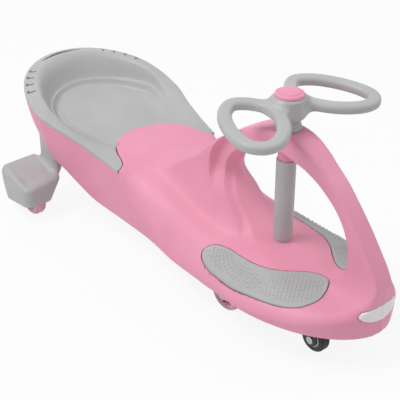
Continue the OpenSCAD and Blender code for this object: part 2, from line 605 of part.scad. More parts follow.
module rear_outrigger(side) color(GREY) scale([1, side, 1]) difference() {
    union() {
        shoe_form();
        intersection() {
            neck_form();
            below_pan();
        }
    }
    translate([rear_axle_x, rear_track / 2, axle_z]) rotate([90, 0, 0]) {
        cylinder(d = well_d, h = well_w, center = true);
        translate([0, 0, -rear_axle_outer])
            cylinder(d = axle_d, h = rear_axle_outer + shoe_outer - shoe_inner);
    }
    translate([rear_axle_x, rear_track / 2, 0]) cube([well_d, well_w, 2 * axle_z], center = true);
    for (e = [-1, 1]) translate([neck_x + e * neck_bolt_x, neck_y, shoe_top - 8])
        cylinder(d = neck_bolt_d, h = rim_z - shoe_top);
}

// Axle along Y from the wheel's inner support to a head on its outer side, for the right-hand side at y = 0
module axle(d, inner, outer, head) {
    rotate([90, 0, 0]) translate([0, 0, -inner]) cylinder(d = d, h = inner + outer);
    if (head > 0) rotate([90, 0, 0]) translate([0, 0, outer - tiny]) cylinder(d = 1.8 * d, h = head + tiny);
}
module at_wheel(x, y, z, side) translate([x, side * y, z]) scale([1, -side, 1]) children();
module rear_axle(side) color(STEEL) at_wheel(rear_axle_x, rear_track / 2, axle_z, side)
    axle(axle_d, rear_track / 2 - shoe_inner, rear_axle_outer, 0);
module front_axle(side) color(STEEL) at_wheel(column_x - front_trail, front_track / 2, axle_z, side)
    axle(axle_d, tyre_w / 2 + 30, tyre_w / 2 + side_gap, 4);
module nose_axle(side) color(STEEL) at_wheel(nose_wheel_x, nose_track / 2, nose_axle_z, side)
    axle(nose_axle_d, fork_w / 2, fork_w / 2, 2);

module nose_fork(side) color(DARK) at_wheel(nose_wheel_x, nose_track / 2, 0, side) difference() {
    union() {
        for (s = [-1, 1]) translate([0, s * (fork_gap + fork_plate) / 2, nose_axle_z]) rotate([90, 0, 0]) {
            cylinder(r = fork_half, h = fork_plate, center = true);
            translate([-fork_half, 0, -fork_plate / 2])
                cube([2 * fork_half, fork_top - nose_axle_z, fork_plate]);
        }
        translate([-fork_half, -fork_w / 2, fork_top - fork_bridge])
            cube([2 * fork_half, fork_w, fork_bridge]);
    }
    translate([0, 0, nose_axle_z]) rotate([90, 0, 0])
        cylinder(d = nose_axle_d, h = 2 * fork_w, center = true);
    for (e = [-1, 1]) translate([e * fork_screw_x, 0, nose_axle_z])
        cylinder(d = fork_screw_d + seam_gap, h = fork_top);
}

module seat_screws() color(STEEL) for (p = seat_screw_places)
    translate([p[0], p[1], seat_screw_z(p[0])]) screw(seat_screw_d, rim_depth + wall - seat_skin - 1, 3);
module pan_screws() color(STEEL) for (p = pan_screw_places)
    translate([p[0], p[1], pan_z(p[0]) + pan_sink]) screw(pan_screw_d, pan_screw_l, pan_screw_head);
module outrigger_bolts() color(STEEL) for (s = [RIGHT, LEFT], e = [-1, 1])
    let (x = neck_x + e * neck_bolt_x)
    translate([x, s * neck_y, pan_z(x) + pan_t + neck_bolt_lift]) rotate([180, 0, 0])
         screw(neck_bolt_d, neck_bolt_l, 4);
module nose_fork_screws() color(STEEL) for (s = [RIGHT, LEFT], e = [-1, 1])
    translate([nose_wheel_x + e * fork_screw_x, s * nose_track / 2, fork_top - fork_bridge])
        screw(fork_screw_d, fork_screw_l, 2.5);

// Steering wheel: two closed loops on a hub
loop_keys = [[-53, 63], [-47, 82], [-31, 100], [-5, 116], [24, 126], [49, 127], [65, 114], [68, 96], [61, 76],
    [47, 57], [29, 42], [7, 31], [-18, 30], [-40, 43]];
hub_top_z = wheel_z + grip_d / 2 + 10;
hub_low_z = upper_seat_z + bush_flange + side_gap;
nut_well = 12;
nut_h = 6;
cap_plug = 5;
cap_rise = 4.5;
cap_r = 90;
function unit(v) = v / norm(v);
module grip_loop(side) {
    path = smooth_loop(loop_keys, 3);
    c = len(path);
    n = 12;
    rows = [for (i = [0:c - 1]) let (t = unit(path[(i + 1) % c] - path[(i + c - 1) % c]), q = [t[1], -t[0]])
        [for (j = [0:n - 1]) let (a = 360 * j / n, u = grip_d / 2 * sign(cos(a)) * abs(cos(a)) ^ 0.8,
            v = grip_d / 2 * sign(sin(a)) * abs(sin(a)) ^ 0.8)
            [path[i][0] + q[0] * u, path[i][1] + q[1] * u, v]]];
    scale([1, side, 1]) polyhedron(points = [for (r = rows, p = r) p], convexity = 6, faces = [
        for (i = [0:c - 1], j = [0:n - 1]) let (k = (i + 1) % c, m = (j + 1) % n)
            each [[i * n + j, i * n + m, k * n + j], [i * n + m, k * n + m, k * n + j]]]);
}
module steering_wheel() color(GREY) difference() {
    translate([column_x, 0, 0]) moulded() union() {
        translate([0, 0, wheel_z]) rotate([0, wheel_tilt, 0]) for (s = [RIGHT, LEFT]) grip_loop(s);
        hull() {
            translate([0, 0, wheel_z - grip_d / 2]) cylinder(d = cap_d + 8, h = grip_d - 2, $fn = 48);
            translate([0, 0, hub_top_z - tiny]) cylinder(d = cap_d + 4, h = tiny, $fn = 48);
            translate([0, 0, hub_low_z + 4]) cylinder(d = upper_flange_d - 6, h = tiny, $fn = 48);
        }
        translate([0, 0, hub_low_z]) cylinder(d = upper_flange_d - 8, h = 20, $fn = 48);
    }
    translate([column_x, 0, 0]) {
        cylinder(d = shaft_d + 2 * running_gap, h = 2 * arch_z);
        translate([0, 0, hub_top_z - nut_well]) cylinder(d = 2 * shaft_d, h = 2 * nut_well);
    }
}
module hub_cap() color(PINK) translate([column_x, 0, hub_top_z]) rotate_extrude() {
    translate([0, -cap_plug]) square([shaft_d - 1, cap_plug]);
    intersection() {
        translate([0, -cap_r]) circle(r = cap_r + cap_rise, $fn = 200);
        square([cap_d / 2, 2 * cap_rise]);
    }
}
module hub_nut() color(STEEL) translate([column_x, 0, hub_top_z - nut_well]) difference() {
    cylinder(d = 1.7 * shaft_d, h = nut_h, $fn = 6);
    translate([0, 0, -nut_h]) cylinder(d = shaft_d + 2 * running_gap, h = 3 * nut_h);
}
shaft_low = axle_z + 16;
module steering_shaft() color(STEEL) translate([column_x, 0, shaft_low])
    cylinder(d = shaft_d, h = hub_top_z - nut_h - shaft_low);
module column_sleeve() color(GREY) difference() {
    translate([column_x, 0, lower_seat_z + bush_flange + side_gap])
        cylinder(d = sleeve_d, h = boss_z - side_gap - lower_seat_z - bush_flange - side_gap);
    translate([column_x, 0, 0]) cylinder(d = shaft_d + 2 * running_gap, h = arch_z);
}
module thrust_washer() color(STEEL) translate([column_x, 0, carrier_top]) difference() {
    cylinder(d = deck_boss_d, h = washer_t);
    translate([0, 0, -1]) cylinder(d = shaft_d + 2 * running_gap, h = washer_t + 2);
}

// Carrier of the front wheels, which turns with the shaft
carrier_boss_d = 42;
carrier_bar_d = 26;
carrier_bar_h = 24;
carrier_arm_w = 44;
carrier_w = front_track - tyre_w - 2 * side_gap - 3;
pin_d = 6;
pin_z = carrier_top - 14;
module front_wheel_carrier() color(DARK) translate([column_x, 0, 0]) difference() {
    union() {
        translate([0, 0, shaft_low]) cylinder(d = carrier_boss_d, h = carrier_top - shaft_low);
        translate([-front_trail - carrier_bar_d / 2, -carrier_arm_w / 2, axle_z + carrier_bar_d / 2])
            cube([front_trail + carrier_bar_d / 2, carrier_arm_w, carrier_bar_h]);
        translate([-front_trail - carrier_bar_d / 2, -carrier_w / 2, axle_z])
            cube([carrier_bar_d, carrier_w, carrier_bar_h]);
        translate([-front_trail, 0, axle_z]) rotate([90, 0, 0])
            cylinder(d = carrier_bar_d, h = carrier_w, center = true);
    }
    cylinder(d = shaft_d, h = 2 * carrier_top);
    translate([-front_trail, 0, axle_z]) rotate([90, 0, 0])
        cylinder(d = axle_d, h = 2 * front_track, center = true);
    translate([0, 0, pin_z]) rotate([90, 0, 0]) cylinder(d = pin_d, h = 2 * carrier_boss_d, center = true);
}
module carrier_pin() color(STEEL) difference() {
    translate([column_x, 0, pin_z]) rotate([90, 0, 0])
        cylinder(d = pin_d, h = carrier_boss_d + pin_d, center = true);
    steering_shaft();
}

// Parts of a wheel, with its axis along Y and its middle at the origin
bearing_w = 6;
module wheel_ring(profile_d, bore_d, w, edge) rotate([90, 0, 0]) rotate_extrude($fn = 96)
    translate([bore_d / 2, -w / 2]) polygon(concat([[0, 0]],
        [for (a = [-90:30:0]) [(profile_d - bore_d) / 2 - edge + edge * cos(a), edge + edge * sin(a)]],
        [for (a = [0:30:90]) [(profile_d - bore_d) / 2 - edge + edge * cos(a), w - edge + edge * sin(a)]],
        [[0, w]]));
module tyre(d, hub, w) wheel_ring(d, hub, w, 5);
module hub(d, bore, w) rotate([90, 0, 0]) difference() {
    cylinder(d = d, h = w - 2, center = true);
    for (e = [-1, 1]) translate([0, 0, e * (w / 2 - 1)]) difference() {
        cylinder(d = d - 5, h = 6, center = true);
        cylinder(d = bore + 6, h = 8, center = true);
    }
    for (e = [-1, 1]) translate([0, 0, e * (w / 2 - 1)]) cylinder(d = bore, h = 2 * bearing_w, center = true);
    cylinder(d = bore - 6, h = 2 * w, center = true);
}
module bearings(w) for (e = [-1, 1]) translate([0, e * (w - bearing_w) / 2, 0]) rotate([90, 0, 0])
    difference() {
        cylinder(d = bearing_d, h = bearing_w, center = true);
        cylinder(d = axle_d + 2 * running_gap, h = 2 * bearing_w, center = true);
    }
module nose_hub_form() rotate([90, 0, 0]) difference() {
    cylinder(d = nose_hub_d, h = nose_tyre_w, center = true);
    for (e = [-1, 1]) translate([0, 0, e * nose_tyre_w / 2]) difference() {
        cylinder(d = nose_hub_d - 5, h = 6, center = true);
        cylinder(d = nose_axle_d + 7, h = 8, center = true);
    }
    cylinder(d = nose_axle_d + 2 * running_gap, h = 2 * nose_tyre_w, center = true);
}
module at_rear(side) at_wheel(rear_axle_x, rear_track / 2, axle_z, side) children();
module at_front(side) at_wheel(column_x - front_trail, front_track / 2, axle_z, side) children();
module at_nose(side) at_wheel(nose_wheel_x, nose_track / 2, nose_axle_z, side) children();
module road_tyre() color(CLEAR_PINK) tyre(tyre_d, hub_d, tyre_w);
module road_hub() color(CLEAR_PINK) hub(hub_d, bearing_d, tyre_w);
module road_bearings() color(STEEL) bearings(tyre_w - 2);
module nose_tyre() color(DARK) tyre(nose_tyre_d, nose_hub_d, nose_tyre_w);
module nose_hub() color(GREY) nose_hub_form();

body_shell();
underbody_pan();
seat();
foot_pad(RIGHT);  // foot_pad_right
foot_pad(LEFT);  // foot_pad_left
nose_badge();
upper_steering_bush();
lower_steering_bush();
rear_outrigger(RIGHT);  // rear_outrigger_right
rear_outrigger(LEFT);  // rear_outrigger_left
rear_axle(RIGHT);  // rear_axle_right
rear_axle(LEFT);  // rear_axle_left
nose_fork(RIGHT);  // nose_fork_right
nose_fork(LEFT);  // nose_fork_left
nose_axle(RIGHT);  // nose_axle_right
nose_axle(LEFT);  // nose_axle_left
seat_screws();
pan_screws();
outrigger_bolts();
nose_fork_screws();
steering_wheel();
hub_cap();
hub_nut();
steering_shaft();
column_sleeve();
thrust_washer();
front_wheel_carrier();
carrier_pin();
front_axle(RIGHT);  // front_axle_right
front_axle(LEFT);  // front_axle_left
at_rear(RIGHT) road_tyre();  // rear_tyre_right
at_rear(RIGHT) road_hub();  // rear_hub_right
at_rear(RIGHT) road_bearings();  // rear_bearings_right
at_rear(LEFT) road_tyre();  // rear_tyre_left
at_rear(LEFT) road_hub();  // rear_hub_left
at_rear(LEFT) road_bearings();  // rear_bearings_left
at_front(RIGHT) road_tyre();  // front_tyre_right
at_front(RIGHT) road_hub();  // front_hub_right
at_front(RIGHT) road_bearings();  // front_bearings_right
at_front(LEFT) road_tyre();  // front_tyre_left
at_front(LEFT) road_hub();  // front_hub_left
at_front(LEFT) road_bearings();  // front_bearings_left
at_nose(RIGHT) nose_tyre();  // nose_tyre_right
at_nose(RIGHT) nose_hub();  // nose_hub_right
at_nose(LEFT) nose_tyre();  // nose_tyre_left
at_nose(LEFT) nose_hub();  // nose_hub_left
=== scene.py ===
"""Looks of a child's wiggle car, built around its CAD frame.

Shapes are worked out in millimetres in the frame's axes: +X forward, +Y to the rider's left, +Z up.
A moulding is a field: a function of x, y and z that is negative inside the moulding and close to the
distance from its surface. Each field is meshed on a grid. Round parts are profiles turned about an axis.
"""

import json
import math

import bpy
import numpy as np
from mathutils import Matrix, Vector


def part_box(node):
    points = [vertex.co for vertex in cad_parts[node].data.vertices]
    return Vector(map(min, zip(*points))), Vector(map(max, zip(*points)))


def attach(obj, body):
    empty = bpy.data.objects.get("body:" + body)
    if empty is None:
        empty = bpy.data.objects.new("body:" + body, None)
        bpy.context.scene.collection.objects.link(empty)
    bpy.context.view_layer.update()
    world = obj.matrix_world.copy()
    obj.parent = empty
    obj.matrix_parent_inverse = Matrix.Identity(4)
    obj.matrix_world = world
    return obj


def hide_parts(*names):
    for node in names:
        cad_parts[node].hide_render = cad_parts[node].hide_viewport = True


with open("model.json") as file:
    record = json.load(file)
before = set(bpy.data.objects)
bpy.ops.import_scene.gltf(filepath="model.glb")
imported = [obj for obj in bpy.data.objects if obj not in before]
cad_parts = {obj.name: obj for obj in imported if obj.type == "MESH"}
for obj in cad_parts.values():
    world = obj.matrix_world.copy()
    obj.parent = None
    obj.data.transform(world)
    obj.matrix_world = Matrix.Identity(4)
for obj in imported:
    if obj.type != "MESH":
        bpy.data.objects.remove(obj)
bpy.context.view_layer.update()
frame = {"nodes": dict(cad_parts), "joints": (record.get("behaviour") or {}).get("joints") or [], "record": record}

MM = 0.001
SIDES = ("right", "left")
joint_at = {j["name"]: np.array(j["pos_m"]) / MM for j in frame["joints"]}


def node_box(node):
    """Lowest and highest corner of a CAD node in millimetres."""
    low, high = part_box(node)
    return np.array(low) / MM, np.array(high) / MM


# Driving sizes, as in the CAD model
SEAT_WIDTH = 286
DECK_WIDTH = 258
WAIST_WIDTH = 220
DECK_Z = 123
SKIRT_Z = 56
SEAT_Z = 165
RIM_Z = 239
ARCH_Z = 318
ARCH_THICK = 34

# Wall of the body and gap at its seams, larger than in the CAD model so that the grid can hold them
SHELL = 7
SEAM = 0.8

# Main places along the car, and half-widths
COLUMN_X = joint_at["steering_turn"][0]
NOSE_X = COLUMN_X + 210
REAR_X = COLUMN_X - 624
SEAT_X = REAR_X + 161
HORN_X = SEAT_X + 175
TONGUE_X = SEAT_X + 81
DIP_X = TONGUE_X - 25
DECK_X = COLUMN_X + 17
SKIRT_START = REAR_X + 6
SKIRT_END = NOSE_X - 2
NOSE_POWER = 1.9
HALF_SEAT = SEAT_WIDTH / 2
HALF_DECK = DECK_WIDTH / 2
HALF_WAIST = WAIST_WIDTH / 2
REAR_FOOT = HALF_SEAT - 25
FRONT_FOOT = HALF_DECK - 10


# Curves and fields

def curve(keys, x):
    """Smooth curve through keys [(x, value), ...], level beyond its ends."""
    xs, ys = np.array(keys, float).T
    n = np.arange(len(xs))
    before, after = np.maximum(n - 1, 0), np.minimum(n + 1, len(xs) - 1)
    slope = (ys[after] - ys[before]) / (xs[after] - xs[before])
    x = np.clip(x, xs[0], xs[-1])
    i = np.clip(np.searchsorted(xs, x, "right") - 1, 0, len(xs) - 2)
    h = xs[i + 1] - xs[i]
    t = (x - xs[i]) / h
    return ((2 * t**3 - 3 * t**2 + 1) * ys[i] + (t**3 - 2 * t**2 + t) * h * slope[i]
            + (3 * t**2 - 2 * t**3) * ys[i + 1] + (t**3 - t**2) * h * slope[i + 1])


def smooth_loop(keys, n):
    """Closed smooth curve through plan points, with n points for each stretch."""
    b = np.array(keys, float)
    a, d, e = np.roll(b, 1, 0), np.roll(b, -1, 0), np.roll(b, -2, 0)
    slope, bend, twist = d - a, 2 * a - 5 * b + 4 * d - e, 3 * b - a - 3 * d + e
    points = [0.5 * (2 * b + slope * t + bend * t**2 + twist * t**3) for t in np.arange(n) / n]
    return np.stack(points, 1).reshape(-1, 2)


def ease(x, start, end):
    """0 before start, 1 after end and smooth between them."""
    t = np.clip((x - start) / (end - start), 0, 1)
    return t * t * (3 - 2 * t)


def rounded_end(t, power):
    """Half-width of a rounded end at share t of its length."""
    return (1 - np.clip(t, 0, 1) ** power) ** (1 / power)


def join(a, b, k):
    """Union of two fields with a fillet about k in size."""
    h = np.maximum(k - np.abs(a - b), 0) / k
    return np.minimum(a, b) - h * h * k / 4


def meet(a, b, k):
    """Intersection of two fields with an edge rounded by about k."""
    return -join(-a, -b, k)


def outline_distance(outline, u, v, closed=True):
    """Distance from an outline, negative inside it if it is closed."""
    start = np.asarray(outline, float)
    end = np.roll(start, -1, 0)
    if not closed:
        start, end = start[:-1], end[:-1]
    nearest, inside = np.inf, False
    for (au, av), (bu, bv) in zip(start, end):
        du, dv = bu - au, bv - av
        t = np.clip(((u - au) * du + (v - av) * dv) / (du * du + dv * dv), 0, 1)
        nearest = np.minimum(nearest, (u - au - t * du) ** 2 + (v - av - t * dv) ** 2)
        if closed and dv:
            inside = inside ^ (((av > v) != (bv > v)) & (u < au + (v - av) * du / dv))
    return np.where(inside, -1, 1) * np.sqrt(nearest)


def round_box(x, y, z, centre, half, radius):
    """Box with half-sizes half and all its edges rounded."""
    q = [np.abs(p - c) - h + radius for p, c, h in zip((x, y, z), centre, half)]
    out = np.sqrt(sum(np.maximum(p, 0) ** 2 for p in q))
    return out + np.minimum(np.maximum(np.maximum(q[0], q[1]), q[2]), 0) - radius


def cylinder(r, h, radius, low, high, edge):
    """Round part between two heights, at distance r from its axis and height h along it."""
    q = [r - radius + edge, np.maximum(low - h, h - high) + edge]
    out = np.sqrt(np.maximum(q[0], 0) ** 2 + np.maximum(q[1], 0) ** 2)
    return out + np.minimum(np.maximum(*q), 0) - edge


def steepness(f, a, b, h=1.0):
    """Length of the gradient of z = f(a, b), with 1 for level ground."""
    da = (f(a + h, b) - f(a - h, b)) / (2 * h)
    db = (f(a, b + h) - f(a, b - h)) / (2 * h)
    return np.sqrt(1 + da * da + db * db)


# Meshes

# In grid cells: free border round a box, reach of a normal, and longest move of a point to a crease
BORDER = 2
NORMAL_STEP = 0.1
CREASE_MOVE = 0.8
# Holds a point back where the planes near it hardly differ
CREASE_DAMPING = 0.08
# Angle in degrees from which an edge is shaded as a crease
SHARP = 35
TURN_STEPS = 72
# Longest share of a side that a rounded corner takes, and its number of points
SIDE_SHARE = 0.45
CORNER_POINTS = 5
TETRAHEDRON = np.array([(1, -1, -1), (-1, -1, 1), (-1, 1, -1), (1, 1, 1)])


def field_normals(field, points, h):
    """Directions in which a field grows fastest at some points."""
    grown = sum(e * field(*(points + h * e).T)[:, None] for e in TETRAHEDRON)
    return grown / (np.linalg.norm(grown, axis=1, keepdims=True) + 1e-9)


def field_surface(field, low, high, step):
    """Points and four-sided faces of the surface where a field is zero, with its creases kept sharp.

    Each grid cell that the surface passes gets one point. It starts at the middle of the places where the
    surface cuts the cell's edges, and moves to where the planes at those places meet.
    """
    axes = [np.arange(a - BORDER * step, b + (BORDER + 1) * step, step) for a, b in zip(low, high)]
    origin = np.array([a[0] for a in axes])
    shape = tuple(len(a) for a in axes)
    values = np.broadcast_to(field(*np.ix_(*axes)), shape)
    inside = values < 0
    places, normals, cells, quads = [], [], [], []
    for axis in range(3):
        along, across, over = np.eye(3, dtype=int)[[axis, (axis + 1) % 3, (axis + 2) % 3]]
        first = tuple(slice(0, -1) if k == axis else slice(None) for k in range(3))
        second = tuple(slice(1, None) if k == axis else slice(None) for k in range(3))
        at = np.argwhere(inside[first] != inside[second])
        a, b = values[tuple(at.T)], values[tuple((at + along).T)]
        place = origin + step * (at + (a / (a - b))[:, None] * along)
        ring = np.stack([at, at - across, at - across - over, at - over], 1)
        ring = np.ravel_multi_index(tuple(np.moveaxis(ring, 2, 0)), shape)
        places.append(np.repeat(place, 4, 0))
        normals.append(np.repeat(field_normals(field, place, NORMAL_STEP * step), 4, 0))
        cells.append(ring.ravel())
        quads.append(np.where((a < 0)[:, None], ring, ring[:, ::-1]))
    places, normals = np.concatenate(places), np.concatenate(normals)
    used, cell = np.unique(np.concatenate(cells), return_inverse=True)
    count = np.bincount(cell)

    def total(weights):
        return np.bincount(cell, weights)

    middle = np.stack([total(places[:, k]) / count for k in range(3)], 1)
    off = np.sum(normals * (places - middle[cell]), 1)
    square = [[total(normals[:, k] * normals[:, m]) for m in range(3)] for k in range(3)]
    square = np.moveaxis(np.array(square), 2, 0)
    target = np.stack([total(normals[:, k] * off) for k in range(3)], 1)
    move = np.linalg.solve(square + CREASE_DAMPING * np.eye(3), target[:, :, None])[:, :, 0]
    points = middle + np.clip(move, -CREASE_MOVE * step, CREASE_MOVE * step)
    return points, np.searchsorted(used, np.concatenate(quads))


def add_mesh(name, points, faces):
    """New object with smooth shading, creased where faces meet at more than SHARP degrees."""
    mesh = bpy.data.meshes.new(name)
    mesh.from_pydata((np.asarray(points) * MM).tolist(), [], [list(f) for f in faces])
    mesh.validate()
    mesh.shade_smooth()
    mesh.set_sharp_from_angle(angle=math.radians(SHARP))
    piece = bpy.data.objects.new(name, mesh)
    bpy.context.scene.collection.objects.link(piece)
    return piece


def moulding(name, field, box, step, margin=8):
    """Mesh of a field inside a box that is widened by margin."""
    points, quads = field_surface(field, box[0] - margin, box[1] + margin, step)
    return add_mesh(name, points, quads)


def turned(name, profile, centre, axis="Z"):
    """Closed profile of (radius, height) points turned about an axis through centre.

    Points that fall together on the axis are made one.
    """
    profile = np.array(profile, float)
    n = len(profile)
    turn = np.arange(TURN_STEPS) * 2 * math.pi / TURN_STEPS
    r, h = profile[:, 0], profile[:, 1]
    a, b = np.outer(np.cos(turn), r), np.outer(np.sin(turn), r)
    height = np.broadcast_to(h, a.shape)
    points = np.stack((a, b, height) if axis == "Z" else (a, height, -b), 2).reshape(-1, 3) + centre
    i, j = np.meshgrid(np.arange(TURN_STEPS), np.arange(n), indexing="ij")
    k, m = (i + 1) % TURN_STEPS, (j + 1) % n
    faces = np.stack([i * n + j, k * n + j, k * n + m, i * n + m], -1).reshape(-1, 4)
    points, same = np.unique(points.round(6), axis=0, return_inverse=True)
    faces = [list(dict.fromkeys(face)) for face in same.reshape(-1)[faces].tolist()]
    return add_mesh(name, points, [face for face in faces if len(face) > 2])


def rounded_profile(corners, radii):
    """Closed profile through corner points, with each corner rounded by its radius."""
    corners = [np.array(c, float) for c in corners]
    out = []
    for i, (p, r) in enumerate(zip(corners, radii)):
        back, ahead = corners[i - 1] - p, corners[(i + 1) % len(corners)] - p
        back_length, ahead_length = np.linalg.norm(back), np.linalg.norm(ahead)
        reach = min(r, SIDE_SHARE * back_length, SIDE_SHARE * ahead_length)
        a, b = p + back / back_length * reach, p + ahead / ahead_length * reach
        ts = np.linspace(0, 1, CORNER_POINTS) if reach else [0]
        out += [(1 - t) ** 2 * a + 2 * t * (1 - t) * p + t * t * b for t in ts]
    return out


def place(piece, body, slot, material, node):
    """Makes a piece ride on its body in place of a CAD node, with its finish."""
    piece.data.materials.append(material)
    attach(piece, body)
    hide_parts(node)


# Materials

# Usual range of a noise, and the grain's height in millimetres
NOISE_LOW, NOISE_HIGH = 0.3, 0.7
GRAIN_HEIGHT = 0.4
# Gloss changes in patches smaller than the colour's by this factor
GLOSS_SCALE, GLOSS_DETAIL = 4, 4
GRAIN_DETAIL = 3


def linear(*screen):
    """Colour of 8-bit screen values as the shader takes it."""
    return [((value / 255 + 0.055) / 1.055) ** 2.4 for value in screen] + [1]


def noise(tree, scale, detail=2.0):
    """Noise that is fixed to the object."""
    coordinates = tree.nodes.new("ShaderNodeTexCoord")
    texture = tree.nodes.new("ShaderNodeTexNoise")
    texture.inputs["Scale"].default_value = scale
    texture.inputs["Detail"].default_value = detail
    tree.links.new(coordinates.outputs["Object"], texture.inputs["Vector"])
    return texture.outputs["Fac"]


def spread(tree, value, low, high):
    """Maps the usual range of a noise to the range from low to high."""
    ranged = tree.nodes.new("ShaderNodeMapRange")
    ranged.inputs["From Min"].default_value = NOISE_LOW
    ranged.inputs["From Max"].default_value = NOISE_HIGH
    ranged.inputs["To Min"].default_value = low
    ranged.inputs["To Max"].default_value = high
    tree.links.new(value, ranged.inputs["Value"])
    return ranged.outputs["Result"]


def finish(name, pale, deep, rough, patch=14, grain=900, grain_depth=0.04, **sockets):
    """Moulded surface: colour that drifts between two shades, uneven gloss and a fine grain in relief."""
    material = bpy.data.materials.new(name)
    material.use_nodes = True
    tree = material.node_tree
    shader = tree.nodes["Principled BSDF"]
    mix = tree.nodes.new("ShaderNodeMix")
    mix.data_type = "RGBA"
    mix.inputs["A"].default_value = linear(*deep)
    mix.inputs["B"].default_value = linear(*pale)
    tree.links.new(spread(tree, noise(tree, patch), 0, 1), mix.inputs["Factor"])
    tree.links.new(mix.outputs["Result"], shader.inputs["Base Color"])
    gloss = noise(tree, GLOSS_SCALE * patch, GLOSS_DETAIL)
    tree.links.new(spread(tree, gloss, *rough), shader.inputs["Roughness"])
    bump = tree.nodes.new("ShaderNodeBump")
    bump.inputs["Strength"].default_value = grain_depth
    bump.inputs["Distance"].default_value = GRAIN_HEIGHT * MM
    tree.links.new(noise(tree, grain, GRAIN_DETAIL), bump.inputs["Height"])
    tree.links.new(bump.outputs["Normal"], shader.inputs["Normal"])
    for socket, value in sockets.items():
        shader.inputs[socket.replace("_", " ")].default_value = value
    return material


PINK = finish("pink_plastic", (244, 163, 190), (240, 156, 184), (0.48, 0.6), grain=700)
GREY = finish("grey_plastic", (190, 191, 191), (182, 183, 183), (0.36, 0.5), grain=1100, grain_depth=0.08)
PAD = finish("pad_plastic", (190, 192, 191), (181, 183, 182), (0.5, 0.62), grain=1300, grain_depth=0.12)
CLEAR = finish("clear_pink", (250, 190, 208), (246, 178, 200), (0.18, 0.3),
               Transmission_Weight=0.45, IOR=1.46)
RUBBER = finish("black_rubber", (44, 44, 46), (34, 34, 36), (0.5, 0.66), grain=1500, grain_depth=0.2)
DARK = finish("dark_plastic", (58, 58, 60), (48, 48, 50), (0.45, 0.6))
STEEL = finish("zinc_steel", (190, 191, 194), (168, 170, 174), (0.25, 0.42), patch=60, Metallic=1.0)
WHITE = finish("badge_white", (246, 245, 246), (240, 239, 241), (0.25, 0.35))
HUB = finish("hub_grey", (205, 206, 207), (194, 195, 197), (0.35, 0.48))


# Body: heights and half-widths along the car

def rim_top(x):
    """Height of the body's edge round the seat."""
    return curve([(REAR_X, RIM_Z), (REAR_X + 34, RIM_Z - 5), (REAR_X + 99, RIM_Z - 15),
                  (SEAT_X, RIM_Z - 29), (SEAT_X + 46, RIM_Z - 39), (SEAT_X + 92, SEAT_Z + 22),
                  (HORN_X, SEAT_Z - 1)], x)


def plan_width(x, middle_keys, rear_half, rear_end, nose_half, nose_end):
    """Half-width of a plan with a round rear end and a round nose."""
    rear = rear_half * rounded_end((SEAT_X - x) / (SEAT_X - rear_end), 2)
    nose = nose_half * rounded_end((x - DECK_X) / (nose_end - DECK_X), NOSE_POWER)
    return np.where(x < SEAT_X, rear, np.where(x > DECK_X, nose, curve(middle_keys, x)))


def shoulder_y(x):
    """Half-width of the body at its shoulders."""
    middle = [(SEAT_X, HALF_SEAT), (SEAT_X + 46, HALF_SEAT - 7), (SEAT_X + 92, HALF_WAIST + 13),
              (HORN_X, HALF_WAIST), (HORN_X + 73, HALF_WAIST + 2), (COLUMN_X - 134, HALF_DECK - 12),
              (COLUMN_X - 57, HALF_DECK - 4), (DECK_X, HALF_DECK)]
    return plan_width(x, middle, HALF_SEAT, REAR_X, HALF_DECK, NOSE_X)


def shoulder_z(x):
    """Height of the shoulders, where the deck turns into the side."""
    ahead = curve([(HORN_X, SEAT_Z - 1), (HORN_X + 73, DECK_Z + 15), (HORN_X + 113, DECK_Z + 3),
                   (COLUMN_X - 134, DECK_Z - 12), (COLUMN_X - 84, DECK_Z - 24),
                   (COLUMN_X - 24, DECK_Z - 32), (COLUMN_X + 40, DECK_Z - 36),
                   (COLUMN_X + 117, DECK_Z - 34), (NOSE_X - 48, DECK_Z - 27),
                   (NOSE_X - 22, DECK_Z - 21), (NOSE_X, DECK_Z - 18)], x)
    return np.where(x < HORN_X, rim_top(x), ahead)


def skirt_y(x):
    """Half-width of the body at its lower edge."""
    middle = [(SEAT_X, REAR_FOOT), (SEAT_X + 50, HALF_WAIST - 4), (SEAT_X + 102, HALF_WAIST - 12),
              (HORN_X, HALF_WAIST - 15), (HORN_X + 72, HALF_WAIST - 12), (COLUMN_X - 133, HALF_DECK - 17),
              (COLUMN_X - 57, FRONT_FOOT - 2), (DECK_X, FRONT_FOOT)]
    return plan_width(x, middle, REAR_FOOT, SKIRT_START, FRONT_FOOT, SKIRT_END)


def skirt_edge(x):
    """Height of the body's lower edge."""
    return curve([(REAR_X, RIM_Z - 27), (REAR_X + 40, SKIRT_Z + 122), (REAR_X + 87, SKIRT_Z + 88),
                  (REAR_X + 138, SKIRT_Z + 66), (REAR_X + 173, SKIRT_Z + 49), (REAR_X + 212, SKIRT_Z + 24),
                  (REAR_X + 252, SKIRT_Z + 5), (HORN_X, SKIRT_Z - 3), (HORN_X + 60, SKIRT_Z - 4),
                  (COLUMN_X - 110, SKIRT_Z - 2), (DECK_X, SKIRT_Z), (NOSE_X - 12, SKIRT_Z),
                  (SKIRT_END, SKIRT_Z + 1), (NOSE_X, SKIRT_Z + 6)], x)


def deck_top(x):
    """Height of the deck along its middle."""
    ahead = curve([(DIP_X, rim_top(DIP_X)), (TONGUE_X - 6, SEAT_Z + 6), (TONGUE_X + 30, SEAT_Z + 5),
                   (HORN_X, SEAT_Z + 3), (HORN_X + 45, DECK_Z + 37), (HORN_X + 113, DECK_Z + 17),
                   (COLUMN_X - 134, DECK_Z + 7), (COLUMN_X - 84, DECK_Z + 2), (COLUMN_X, DECK_Z),
                   (COLUMN_X + 87, DECK_Z - 8), (NOSE_X - 48, DECK_Z - 14), (NOSE_X - 18, DECK_Z - 18),
                   (NOSE_X, DECK_Z - 22)], x)
    return np.where(x < DIP_X, rim_top(x), ahead)


